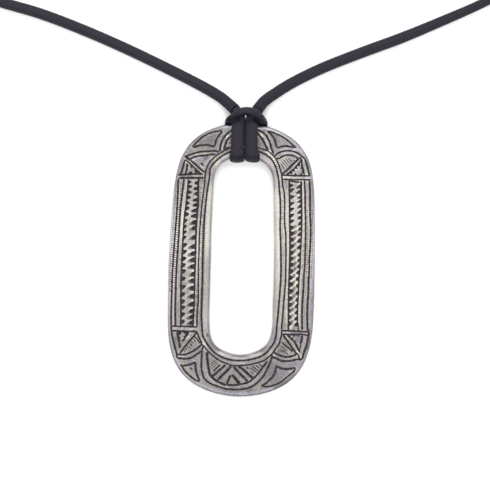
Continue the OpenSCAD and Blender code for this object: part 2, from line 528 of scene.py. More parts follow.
@dataclass(frozen=True)
class PendantPlane:
    """The pendant's own plane, which leans a little, because the cord lies under its top bar.

    Attributes:
        turn_v: Where the cord turns round the opening's edge.
        foot_v: Where the pendant's lower end touches the table.
        lift: How high the back is held at the turn.
        middle_y: What moves the middle of the pendant to the origin.
    """

    turn_v: float = 24.2
    foot_v: float = -32.15
    lift: float = 1.7
    middle_y: float = 0.235

    def lean(self) -> tuple[float, float]:
        """The cosine and the sine of the angle by which it leans."""
        angle = math.asin(self.lift / (self.turn_v - self.foot_v))
        return math.cos(angle), math.sin(angle)

    def place(self, points: np.ndarray) -> np.ndarray:
        """Moves points from the pendant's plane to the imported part's frame.

        Args:
            points: Rows of u, v and w in millimetres.

        Returns:
            Rows of x, y and z in metres.
        """
        cos, sin = self.lean()
        u, v, w = points.T
        y = v * cos - w * sin + self.middle_y
        z = (v - self.foot_v) * sin + w * cos
        return np.stack([u, y, z], axis=1) * MM

    def read(self, points: np.ndarray) -> np.ndarray:
        """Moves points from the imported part's frame back to the pendant's plane.

        Args:
            points: Rows of x, y and z in metres.

        Returns:
            Rows of u, v and w in millimetres.
        """
        cos, sin = self.lean()
        u, y, z = points.T / MM
        y = y - self.middle_y
        z = z + self.foot_v * sin
        return np.stack([u, y * cos + z * sin, z * cos - y * sin], axis=1)


def new_object(name: str, vertices: np.ndarray, faces: list, edges: list | None = None) -> bpy.types.Object:
    """Makes an object from points and faces.

    Args:
        name: The object's name.
        vertices: Its points, in metres.
        faces: Its faces, each a list of the numbers of its points.
        edges: Its edges, if it has no faces.

    Returns:
        The object, in the scene.
    """
    mesh = bpy.data.meshes.new(name)
    mesh.from_pydata([tuple(p) for p in vertices], edges or [], faces)
    mesh.validate()
    mesh.update()
    made = bpy.data.objects.new(name, mesh)
    bpy.context.scene.collection.objects.link(made)
    return made


def edges_along(lines: list, closed: bool = False) -> list[tuple[int, int]]:
    """Lists the edges that join the points of each line.

    Args:
        lines: The lines, whose points are numbered one line after another.
        closed: Whether each line's last point joins its first one.

    Returns:
        The numbers of the two points of each edge.
    """
    edges, first = [], 0
    for line in lines:
        size = len(line)
        edges += [(first + i, first + (i + 1) % size) for i in range(size if closed else size - 1)]
        first += size
    return edges


def store(mesh: bpy.types.Mesh, name: str, values: np.ndarray) -> None:
    """Stores a number or a vector at each point of a mesh.

    Args:
        mesh: The mesh.
        name: The name that they are stored under.
        values: A row for each point.
    """
    vectors = values.ndim == 2
    made = mesh.attributes.new(name, "FLOAT_VECTOR" if vectors else "FLOAT", "POINT")
    made.data.foreach_set("vector" if vectors else "value", values.astype(np.float32).ravel())


@dataclass(frozen=True)
class Patch:
    """A soft round patch of the pendant's plane, where a shade changes.

    Attributes:
        u: Where its middle is across the pendant.
        v: Where its middle is along the pendant.
        across: How far it reaches across.
        along: How far it reaches along.
        amount: How much it changes the shade at its middle.
    """

    u: float
    v: float
    across: float
    along: float
    amount: float

    def weight(self, points: np.ndarray) -> np.ndarray:
        """How much it changes the shade at each point."""
        offset = (points - (self.u, self.v)) / (self.across, self.along)
        return self.amount * np.exp(-(offset ** 2).sum(axis=1))


def patches(*rows: tuple[float, float, float, float, float]) -> tuple[Patch, ...]:
    """Lists patches by the u and v of their middles, their reach across and along, and their amount."""
    return tuple(Patch(*row) for row in rows)


# The cord

class BraidTree:
    """The Geometry Nodes tree that sweeps a braided tube along a line of points.

    The line's points store where they are, the directions across and up, the tube's width and
    thickness, and the length so far. Each strand passes over two others and then under two.
    """

    FLUSH = 0.92
    NUMBERS = (("Sides", "NodeSocketInt"), ("Strands", "NodeSocketFloat"), ("Stitch", "NodeSocketFloat"),
               ("Relief", "NodeSocketFloat"), ("Finish", "NodeSocketMaterial"))

    def __init__(self) -> None:
        """Builds the tree."""
        self.tree = bpy.data.node_groups.new("Braided tube", "GeometryNodeTree")
        face = self.tree.interface
        face.new_socket("Geometry", in_out="INPUT", socket_type="NodeSocketGeometry")
        for name, kind in self.NUMBERS:
            face.new_socket(name, in_out="INPUT", socket_type=kind)
        face.new_socket("Geometry", in_out="OUTPUT", socket_type="NodeSocketGeometry")
        self.bench = NodeBench(self.tree)
        self.entry = self.bench.node("NodeGroupInput")
        self.build()

    def stored(self, name: str, kind: str = "FLOAT") -> Field:
        """What the points store under a name."""
        made = self.bench.node("GeometryNodeInputNamedAttribute", {"Name": name}, data_type=kind)
        return self.bench.field(made)

    def given(self, name: str) -> Field:
        """The tree's input of that name."""
        return self.bench.field(self.entry, name)

    def crown(self, turn: Field, along: Field) -> Field:
        """How high the braid stands at a place of the tube.

        Args:
            turn: How far round the tube it is, from 0 to 1.
            along: How far along the tube it is, in metres.

        Returns:
            The height, from 0 between the strands to 1 on their crowns.
        """
        bench = self.bench
        around = turn * self.given("Strands")
        ahead = along / self.given("Stitch")
        right, left = around + ahead, around - ahead
        right_cell, left_cell = bench.math("FLOOR", right), bench.math("FLOOR", left)
        step = bench.math("FLOORED_MODULO", right_cell + left_cell, 4.0)
        left_on_top = bench.math("GREATER_THAN", step, 1.5)
        right_on_top = bench.math("SUBTRACT", 1.0, left_on_top)
        in_right, in_left = right - right_cell, left - left_cell
        across = in_right * right_on_top + in_left * left_on_top
        float_right = (in_left + step) * 0.5
        float_left = (in_right + step - 2.0) * 0.5
        lengthwise = float_right * right_on_top + float_left * left_on_top
        crosswise = bench.math("SINE", across * math.pi)
        arch = bench.math("SINE", lengthwise * math.pi)
        return bench.math("POWER", crosswise, 0.6) * (bench.math("POWER", arch, 0.5) * 0.7 + 0.3)

    def build(self) -> None:
        """Adds the nodes: the sweep, the places of its points, the finish and the output."""
        bench = self.bench
        line = bench.node("GeometryNodeMeshToCurve", {"Mesh": self.given("Geometry")})
        ring = bench.node("GeometryNodeCurvePrimitiveCircle", {
            "Resolution": self.given("Sides"), "Radius": MM,
        })
        share = bench.node("GeometryNodeSplineParameter").outputs["Factor"]
        marked = bench.node("GeometryNodeStoreNamedAttribute", {"Geometry": ring.outputs[0], "Name": "turn"})
        bench.feed(marked.inputs["Value"], share)
        swept = bench.node("GeometryNodeCurveToMesh", {"Curve": line.outputs[0], "Fill Caps": True})
        bench.feed(swept.inputs["Profile Curve"], marked.outputs[0])
        turn = self.stored("turn")
        crown = self.crown(turn, self.stored("along"))
        proud = (crown - self.FLUSH) * self.given("Relief")
        angle = turn * (2 * math.pi)
        wide = bench.math("COSINE", angle) * (self.stored("width") * 0.5 + proud)
        thick = bench.math("SINE", angle) * (self.stored("thick") * 0.5 + proud)
        sideways = bench.vector("SCALE", self.stored("across", "FLOAT_VECTOR"), wide)
        upwards = bench.vector("SCALE", self.stored("up", "FLOAT_VECTOR"), thick)
        moved = bench.vector(
            "ADD", self.stored("centre", "FLOAT_VECTOR"), bench.vector("ADD", sideways, upwards),
        )
        crowned = bench.node("GeometryNodeStoreNamedAttribute", {
            "Geometry": swept.outputs[0], "Name": "crown",
        })
        bench.feed(crowned.inputs["Value"], crown)
        put = bench.node("GeometryNodeSetPosition", {"Geometry": crowned.outputs[0], "Position": moved})
        real = bench.node("GeometryNodeRealizeInstances", {"Geometry": put.outputs[0]})
        smooth = bench.node("GeometryNodeSetShadeSmooth", {"Geometry": real.outputs[0]})
        dressed = bench.node("GeometryNodeSetMaterial", {"Geometry": smooth.outputs[0]})
        bench.feed(dressed.inputs["Material"], self.given("Finish"))
        bench.node("NodeGroupOutput", {"Geometry": dressed.outputs[0]})

    def inputs(self) -> dict[str, str]:
        """The identifier of each named input."""
        return {i.name: i.identifier for i in self.tree.interface.items_tree if i.in_out == "INPUT"}


@dataclass(frozen=True)
class Braid:
    """How the cord is braided.

    Attributes:
        sides: The points in each ring of the tube.
        strands: The strands that wind each way.
        stitch: The length of one crossing along the cord.
        relief: How far the strands' crowns stand above the valleys.
        spacing: The distance between two rings.
    """

    sides: int = 50
    strands: float = 10.0
    stitch: float = 0.0007
    relief: float = 0.00012
    spacing: float = 0.00014

    def tube(self, name: str, line: np.ndarray, sizes: np.ndarray, across: np.ndarray, tree: BraidTree,
             finish: bpy.types.Material) -> bpy.types.Object:
        """Sweeps a braided tube along a line.

        Args:
            name: The piece's name.
            line: The places of its middle, in metres.
            sizes: Its width and thickness at each place.
            across: The direction of its width at each place.
            tree: The tree that sweeps it.
            finish: The cord's material.

        Returns:
            The piece, as a plain mesh.
        """
        spine = new_object(name + "_spine", line, [], edges_along([line]))
        read_by_tree = {
            "centre": line, "across": across, "up": np.cross(headings(line), across),
            "width": sizes[:, 0], "thick": sizes[:, 1], "along": lengths_along(line),
        }
        for key, rows in read_by_tree.items():
            store(spine.data, key, rows)
        sweep = spine.modifiers.new("Braid", "NODES")
        sweep.node_group = tree.tree
        values = {"Sides": self.sides, "Strands": self.strands, "Stitch": self.stitch, "Relief": self.relief,
                  "Finish": finish}
        for key, identifier in tree.inputs().items():
            if key in values:
                sweep[identifier] = values[key]
        swept = spine.evaluated_get(bpy.context.evaluated_depsgraph_get())
        mesh = bpy.data.meshes.new_from_object(swept)
        spine.modifiers.remove(sweep)
        bpy.data.objects.remove(spine)
        mesh.name = name
        for spent in (*read_by_tree, "turn"):
            if spent in mesh.attributes:
                mesh.attributes.remove(mesh.attributes[spent])
        piece = bpy.data.objects.new(name, mesh)
        bpy.context.scene.collection.objects.link(piece)
        return piece


@dataclass(frozen=True)
class Hitch:
    """The part of the cord that is hitched round the top bar.

    Each row of its route is a place of the cord's middle in the pendant's plane, u, v and w, and
    the cord's width and thickness there, all in millimetres.

    Attributes:
        braid: How it is braided.
        left_strand: The route from the left neck cord down over the top bar.
        right_strand: The same on the right.
        wrap_half: The left half of the rest: round the bar's lower edge, up behind it and over
            the two strands.
        folds: Painted shade: where the cord's colour, sheen and gloss are darkened, under
        and beside its own loop and where the strands turn under the bar.
        sway: Rows of v and how far the loop lies to the right there.
        lift: How much higher the right strand's lower end is than the left one's.
        front_row: The number of a row that lies flat on the front.
        steps: The steps from one row to the next.
    """

    braid: Braid = Braid(sides=44, spacing=0.00016)
    left_strand: tuple = (
        (-2.55, 35.05, 0.25, 2.74, 2.74), (-1.95, 34.4, 0.7, 2.5, 2.4), (-1.4, 33.7, 1.6, 2.3, 1.8),
        (-1.4, 33.0, 2.35, 2.85, 1.7), (-1.68, 32.1, 3.3, 3.1, 1.7), (-1.8, 30.4, 3.5, 3.1, 1.8),
        (-1.78, 28.0, 3.5, 3.12, 1.8), (-1.78, 27.1, 3.5, 3.13, 1.8), (-1.87, 26.45, 3.5, 2.92, 1.8),
        (-1.79, 25.8, 3.47, 3.14, 1.8), (-1.8, 25.2, 3.38, 3.2, 1.7), (-1.74, 24.5, 3.2, 3.62, 1.6),
    )
    right_strand: tuple = (
        (2.6, 35.2, 0.25, 2.74, 2.74), (2.1, 34.45, 0.7, 2.5, 2.4), (1.5, 33.7, 1.6, 2.8, 1.8),
        (1.42, 33.0, 2.35, 3.15, 1.7), (1.33, 32.1, 3.3, 3.25, 1.7), (1.26, 30.4, 3.5, 3.1, 1.8),
        (1.38, 28.0, 3.5, 3.2, 1.8), (1.41, 27.1, 3.5, 3.24, 1.8), (1.5, 26.45, 3.5, 3.12, 1.8),
        (1.47, 25.8, 3.47, 3.32, 1.8), (1.56, 25.2, 3.38, 3.36, 1.7), (1.66, 24.5, 3.2, 3.6, 1.6),
    )
    wrap_half: tuple = (
        (-1.74, 23.7, 2.5, 3.58, 1.3), (-1.76, 23.2, 1.5, 3.45, 1.05), (-1.78, 23.15, 0.6, 3.35, 1.05),
        (-1.85, 23.35, -0.35, 3.2, 1.15), (-2.1, 24.3, -0.9, 3.0, 1.4), (-2.6, 26.6, -0.9, 2.9, 1.6),
        (-3.3, 29.4, -0.9, 2.6, 1.6), (-3.82, 31.3, -0.88, 2.5, 1.6), (-3.85, 32.25, -0.45, 2.5, 1.6),
        (-3.78, 32.6, 0.6, 2.5, 1.6), (-3.68, 32.75, 1.8, 2.5, 1.8), (-3.52, 32.9, 3.1, 2.4, 1.9),
        (-3.0, 33.4, 4.3, 2.15, 2.0), (-2.1, 34.15, 5.05, 2.1, 2.0), (-1.15, 34.65, 5.35, 2.1, 2.0),
        (0.0, 34.8, 5.4, 2.05, 2.0),
    )
    folds: tuple[Patch, ...] = patches(
        (0.0, 33.8, 1.6, 0.5, 0.9), (-2.2, 33.2, 0.9, 0.5, 0.8), (2.3, 33.1, 0.9, 0.5, 0.7),
        (-4.1, 32.7, 0.9, 1.2, 0.8), (3.1, 32.5, 0.5, 0.6, 0.5), (4.2, 31.8, 0.8, 0.5, 0.5),
        (0.0, 23.6, 4.0, 0.9, 0.4),
    )
    sway: tuple = ((30.0, 0.0), (31.5, 0.12), (32.8, 0.12), (33.4, 0.27))
    lift: float = 0.18
    front_row: int = 5
    steps: int = 12

    LOWEST_V = 25.0

    def route(self) -> np.ndarray:
        """The rows of the whole hitch, from its left end to its right one."""
        half = np.array(self.wrap_half)
        other = half[-2::-1] * np.array([-1, 1, 1, 1, 1])
        wrap = np.vstack([half, other])
        wrap[:, 1] += self.lift * np.clip(self.LOWEST_V - wrap[:, 1], 0.0, 1.0) * (wrap[:, 0] > 0)
        wrap[:, 0] += np.interp(wrap[:, 1], *np.array(self.sway).T)
        return np.vstack([np.array(self.left_strand), wrap, np.array(self.right_strand)[::-1]])

    def build(self, plane: PendantPlane, tree: BraidTree, finish: bpy.types.Material) -> bpy.types.Object:
        """Builds the hitch.

        Args:
            plane: The pendant's plane.
            tree: The tree that sweeps the braid.
            finish: The cord's material.

        Returns:
            The piece.
        """
        route = self.route()
        front = route[self.front_row]
        rows = evenly(smooth_line(route, self.steps), self.braid.spacing / MM, 3)
        line = plane.place(rows[:, :3])
        at = int(np.argmin(np.linalg.norm(rows[:, :3] - front[:3], axis=1)))
        across = carried_across(line, np.array([1.0, 0.0, 0.0]), at)
        piece = self.braid.tube("cord_hitch_braid", line, rows[:, 3:5] * MM, across, tree, finish)
        corners = np.empty(3 * len(piece.data.vertices))
        piece.data.vertices.foreach_get("co", corners)
        places = plane.read(corners.reshape(-1, 3))[:, :2]
        # Painted shade under and beside the loop, stored for the cord's finish
        folded = sum(patch.weight(places) for patch in self.folds)
        store(piece.data, "fold", np.clip(folded, 0.0, 1.0))
        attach(piece, BODY)
        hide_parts("cord_hitch")
        return piece


@dataclass(frozen=True)
class NeckCord:
    """One side of the free cord, from the hitch to the clasp, laid on the table.

    Attributes:
        name: The piece's name.
        node: The solid that it replaces.
        route: The places that the cord's middle passes through, in metres.
        drawn_thin: Where the cord is drawn thin: rows of a length along it and its share of the
            full thickness there.
        diameter: The cord's diameter.
        braid: How it is braided.
        steps: The steps from one place to the next.
    """

    name: str
    node: str
    route: tuple
    drawn_thin: tuple = ((0.0, 1.0), (0.01, 1.0))
    diameter: float = 0.0025
    braid: Braid = Braid()
    steps: int = 60

    FULLNESS = 1.05
    ROOT_SWELL = 0.05
    ROOT_LENGTH = 8 * MM
    PATH_STEP = 8

    def build(self, tree: BraidTree, finish: bpy.types.Material,
              with_pieces: list[bpy.types.Object]) -> bpy.types.Object:
        """Args:
            tree: The tree that sweeps the braid.
            finish: The cord's material.
            with_pieces: The pieces on the cord; not used.

        Returns:
            The piece.
        """
        line = evenly(smooth_line(np.array(self.route), self.steps), self.braid.spacing, 3)
        along = lengths_along(line)
        swell = self.FULLNESS + self.ROOT_SWELL * np.exp(-along / self.ROOT_LENGTH)
        swell *= np.interp(along, *np.array(self.drawn_thin).T)
        sizes = self.diameter * np.column_stack([swell, swell])
        across = carried_across(line, np.array([0.0, 0.0, 1.0]), 0)
        piece = self.braid.tube(self.name, line, sizes, across, tree, finish)
        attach(piece, BODY)
        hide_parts(self.node)
        return piece


LEFT_CORD = NeckCord("neck_cord_left_braid", "neck_cord_left", (
    (-0.00268, 0.0354, 0.0022), (-0.0033, 0.036, 0.00175), (-0.0046, 0.0371, 0.00135),
    (-0.0065, 0.0385, 0.00125), (-0.0111, 0.041, 0.00125), (-0.0207, 0.0455, 0.00125),
    (-0.0303, 0.0497, 0.00125), (-0.0399, 0.0535, 0.00125), (-0.0495, 0.0568, 0.00125),
    (-0.059, 0.0593, 0.00125), (-0.0665, 0.062, 0.00125), (-0.0725, 0.0666, 0.00125),
    (-0.0762, 0.0734, 0.00125), (-0.0769, 0.0815, 0.00125), (-0.0748, 0.0905, 0.00125),
    (-0.0699, 0.099, 0.00125), (-0.062, 0.106, 0.00125), (-0.0515, 0.1113, 0.00125),
    (-0.039, 0.1147, 0.00125), (-0.025, 0.1162, 0.0015), (-0.014, 0.1165, 0.0022),
    (-0.0045, 0.1166, 0.0025),
))
RIGHT_CORD = NeckCord("neck_cord_right_braid", "neck_cord_right", (
    (0.00266, 0.0355, 0.00223), (0.0032, 0.0363, 0.00178), (0.0042, 0.0376, 0.00135),
    (0.0062, 0.0392, 0.00125), (0.0107, 0.0422, 0.00125), (0.0177, 0.0459, 0.00125),
    (0.027, 0.0499, 0.00125), (0.0364, 0.0537, 0.00125), (0.0457, 0.0579, 0.00125),
    (0.0551, 0.0624, 0.00125), (0.0625, 0.0668, 0.00125), (0.0687, 0.072, 0.00125),
    (0.0733, 0.0788, 0.00125), (0.075, 0.087, 0.00125), (0.0734, 0.0953, 0.00125),
    (0.0678, 0.103, 0.00125), (0.059, 0.1092, 0.00125), (0.048, 0.1133, 0.00125),
    (0.036, 0.1155, 0.00125), (0.024, 0.1163, 0.0015), (0.014, 0.1165, 0.0022),
    (0.0045, 0.1166, 0.0025),
), ((0.038, 1.0), (0.046, 0.93), (0.052, 0.89), (0.058, 0.84), (0.066, 0.84), (0.09, 1.0)))


# The engraving

FAR = 0.8
LOWER_END = -18.0
LOWER_REACH = 4.0
LOWER_DROP = 0.11


def settled(places: tuple) -> np.ndarray:
    """A mark's places. Those at the lower end were read a little too high, so they go down."""
    rows = np.array(places, float)
    rows[:, 1] -= LOWER_DROP * np.clip((LOWER_END - rows[:, 1]) / LOWER_REACH, 0.0, 1.0)
    return rows


@dataclass(frozen=True)
class Cut:
    """One cut of the graver, pointed at both ends.

    Attributes:
        width: Its width in millimetres.
        places: The places that it passes through, u and v.
        bite: How deep and dark it is.
    """

    width: float
    places: tuple
    bite: Bite = Bite.PLAIN

    SPACING = 0.35
    LEAST_STEPS = 4
    CURVE_STEPS = 8
    TIP = 0.25
    FLOOR = 0.5
    MARGIN = 1.3
    WAVER = 0.1

    # The waves by which the hand wavers along a stroke
    WAVE, SLOWER, WEAKER, START = 5.1, 0.57, 0.6, 3

    def line(self) -> np.ndarray:
        """Rows of u, v and half the cut's width along its middle, a little uneven as cut by hand."""
        drawn = smooth_line(settled(self.places), self.CURVE_STEPS)
        spacing = min(self.SPACING, lengths_along(drawn)[-1] / self.LEAST_STEPS)
        drawn = evenly(drawn, spacing, 2)
        along = lengths_along(drawn)
        from_end = np.minimum(along, along[-1] - along)
        half = self.width / 2 * self.MARGIN * np.sqrt(np.clip(from_end / self.TIP, 0.0, 1.0))
        hand = along * self.WAVE + drawn[0].sum() * self.START
        half *= 1 + self.WAVER * (np.sin(hand) + self.WEAKER * np.sin(hand * self.SLOWER))
        return np.column_stack([drawn, half])

    def rails(self) -> list[np.ndarray]:
        """The lines along its two edges and along the two sides of its floor."""
        line = self.line()
        ahead = headings(line[:, :2])
        aside = np.column_stack([-ahead[:, 1], ahead[:, 0]])
        shares = (-1.0, -self.FLOOR, self.FLOOR, 1.0)
        return [line[:, :2] + aside * line[:, 2:] * share for share in shares]

    def reach(self, points: np.ndarray) -> tuple[np.ndarray, np.ndarray]:
        """Measures how far the cut reaches at each point.

        Args:
            points: Rows of u and v.

        Returns:
            How deep the cut goes there, as a share of its full depth, and how far it is from there.
        """
        line = self.line()
        deep, far = np.zeros(len(points)), np.full(len(points), FAR)
        near = np.all((points > line[:, :2].min(0) - FAR) & (points < line[:, :2].max(0) + FAR), axis=1)
        if near.any():
            away, where = nearest(points[near], line[:-1, :2], line[1:, :2])
            half = line[:-1, 2] + (line[1:, 2] - line[:-1, 2]) * where
            full = np.sqrt(half / (self.width / 2 * self.MARGIN))
            share = np.clip((1 - away / np.maximum(half, 1e-6)) / (1 - self.FLOOR), 0.0, 1.0) * full
            deep[near] = share.max(axis=1)
            far[near] = np.maximum((away - half).min(axis=1), 0.0)
        return deep, far


@dataclass(frozen=True)
class Wedge:
    """A cornered cut with steep sides and a flat floor.

    Attributes:
        corners: Its corners, u and v, anticlockwise.
        bite: How deep and dark it is.
    """

    corners: tuple
    bite: Bite = Bite.DEEP

    SLOPE_WIDTH = 0.09

    def rails(self) -> list[np.ndarray]:
        """The closed lines round its edge and round its floor."""
        rim = settled(self.corners)
        after = np.roll(rim, -1, axis=0)
        sides = np.linalg.norm(after - rim, axis=1)
        centre = (rim + after).T @ sides / (2 * sides.sum())
        inside = self.inset(centre[None])[0]
        floor = centre + (rim - centre) * max(0.0, 1 - self.SLOPE_WIDTH / max(inside, 1e-6))
        return [np.vstack([loop, loop[:1]]) for loop in (rim, floor)]

    def inset(self, points: np.ndarray) -> np.ndarray:
        """How far inside its edge each point lies, or less than 0 outside."""
        rim = settled(self.corners)
        along = np.roll(rim, -1, axis=0) - rim
        along /= np.linalg.norm(along, axis=1, keepdims=True)
        to_point = points[:, None] - rim[None]
        return (along[:, 0] * to_point[:, :, 1] - along[:, 1] * to_point[:, :, 0]).min(axis=1)

    def reach(self, points: np.ndarray) -> tuple[np.ndarray, np.ndarray]:
        """Measures how far the cut reaches at each point.

        Args:
            points: Rows of u and v.

        Returns:
            How deep the cut goes there, as a share of its full depth, and how far it is from there.
        """
        inset = self.inset(points)
        return np.clip(inset / self.SLOPE_WIDTH, 0.0, 1.0), np.clip(-inset, 0.0, FAR)


def nearest(points: np.ndarray, starts: np.ndarray, ends: np.ndarray) -> tuple[np.ndarray, np.ndarray]:
    """Measures from points to straight pieces of line.

    Args:
        points: The points.
        starts: Where each piece starts.
        ends: Where each piece ends.

    Returns:
        The distance from each point to each piece, and how far along the piece its nearest
        place is, from 0 to 1.
    """
    along = ends - starts
    to_point = points[:, None] - starts[None]
    share = np.clip((to_point * along).sum(axis=2) / (along * along).sum(axis=1), 0.0, 1.0)
    return np.linalg.norm(to_point - along * share[:, :, None], axis=2), share


def wedges(*rows: tuple, bite: Bite = Bite.DEEP) -> tuple[Wedge, ...]:
    """Lists wedges by their corners.

    Args:
        *rows: For each wedge, the u and v of one corner after another.
        bite: How deep and dark they are.

    Returns:
        The wedges, each with its corners anticlockwise.
    """
    made = []
    for row in rows:
        rim = np.array(row, float).reshape(-1, 2)
        after = np.roll(rim, -1, axis=0)
        area = (rim[:, 0] * after[:, 1] - rim[:, 1] * after[:, 0]).sum()
        corners = rim if area > 0 else rim[::-1]
        made.append(Wedge(tuple(map(tuple, corners)), bite))
    return tuple(made)


def strokes(width: float, bite: Bite, *ends: tuple[float, float, float, float]) -> tuple[Cut, ...]:
    """Lists straight cuts of one width, each by the u and v of its two ends."""
    return tuple(Cut(width, ((a, b), (c, d)), bite) for a, b, c, d in ends)


@dataclass(frozen=True)
class WedgeColumn:
    """A column of wedges that stand on one of the lines beside a bar's zigzag.

    Attributes:
        edge: The line that they stand on.
        tips: For each wedge, the v of its base's middle, and the u and v of its tip.
        base: The length of the longest base.
        fullness: How much the wedges bulge, from 0 for straight sides to 1 for a half round.
        core: The share of their length that is cut deep. The tip beyond it is shallower.
    """

    edge: Cut
    tips: tuple
    base: float
    fullness: float
    core: float

    SHARE = 0.94
    SHADE = 0.2
    SHADE_BASE = 1.1
    PROFILE = ((0.0, 1.0, 1.0), (0.35, 0.65, 0.97), (0.65, 0.35, 0.84), (0.88, 0.12, 0.55), (1.0, 0.0, 0.2))

    def edge_u(self, v: float) -> float:
        """The u of the line that they stand on, at a v."""
        line = np.array(self.edge.places, float)
        line = line[np.argsort(line[:, 1])]
        return float(np.interp(v, line[:, 1], line[:, 0]))

    def outline(self, foot: float, base: float, tip: tuple[float, float]) -> list[float]:
        """The corners of one wedge.

        Args:
            foot: The v of its base's middle.
            base: The length of its base.
            tip: The u and v of its tip.

        Returns:
            The u and v of one corner after another.
        """
        above, below = [], []
        for share, straight, round_side in self.PROFILE:
            half = base / 2 * (straight + (round_side - straight) * self.fullness)
            v = foot + (tip[1] - foot) * share
            for side, v_side in ((above, v + half), (below, v - half)):
                u_edge = self.edge_u(v_side)
                side.append((u_edge + (tip[0] - u_edge) * share, v_side))
        return [number for corner in above + below[::-1] for number in corner]

    def wedges(self) -> list[Wedge]:
        """The wedges, from the top one down."""
        feet = np.array([row[0] for row in self.tips])
        gaps = np.abs(np.diff(feet))
        rooms = np.minimum(np.append(gaps, gaps[-1]), np.insert(gaps, 0, gaps[0]))
        made = []
        for (foot, *tip), room in zip(self.tips, rooms):
            base = min(self.base, room * self.SHARE)
            start = np.array([self.edge_u(foot), foot])
            deep = start + (np.array(tip) - start) * self.core
            made += wedges(self.outline(foot, base, tuple(deep)))
            if self.core < 1:
                low = (tip[0], tip[1] - self.SHADE)
                made += wedges(self.outline(foot - self.SHADE, base * self.SHADE_BASE, low), bite=Bite.FAINT)
        return made


BRIDGE_WIDTH = 0.85
BRIDGE_SLACK = 0.5
BRIDGE_BACK = (0.6, 0.5)
BRIDGE_DROP = (0.0, 0.2)


def bridges(one: WedgeColumn, other: WedgeColumn, rise: float) -> list[Cut]:
    """Draws faint cuts between the tips of two facing columns.

    Args:
        one: The column on the left or on the right.
        other: The column that faces it.
        rise: How much higher the right-hand tip stands than the left-hand one.

    Returns:
        The cuts.
    """
    left, right = sorted((np.array([row[1:] for row in column.tips]) for column in (one, other)),
                         key=lambda tips: tips[:, 0].mean())
    made = []
    for tip in left:
        facing = right[np.argmin(np.abs(right[:, 1] - tip[1] - rise))]
        if abs(facing[1] - tip[1] - rise) < BRIDGE_SLACK:
            ends = (tuple(tip - BRIDGE_BACK), tuple(facing - BRIDGE_DROP))
            made.append(Cut(BRIDGE_WIDTH, ends, Bite.FAINT))
    return made


@dataclass(frozen=True)
class BeadRow:
    """A row of small beads between two lines, parted by short cuts across it.

    Attributes:
        places: The places that the row passes through, from one end to the other.
        pitch: The distance between two beads.
        breadth: The length of the cuts between them.
        bite: How deep and dark those cuts are.
    """

    places: tuple
    pitch: float = 0.54
    breadth: float = 0.5
    bite: Bite = Bite.HALF

    CURVE_STEPS = 8
    CUT_WIDTH = 0.27

    def cuts(self) -> list[Cut]:
        """The cuts between the beads."""
        line = evenly(smooth_line(np.array(self.places, float), self.CURVE_STEPS), self.pitch, 2)
        ahead = headings(line)
        aside = np.column_stack([-ahead[:, 1], ahead[:, 0]]) * self.breadth / 2
        return [Cut(self.CUT_WIDTH, (tuple(p - a), tuple(p + a)), self.bite) for p, a in zip(line, aside)]


# The places of the cuts, u and v in millimetres

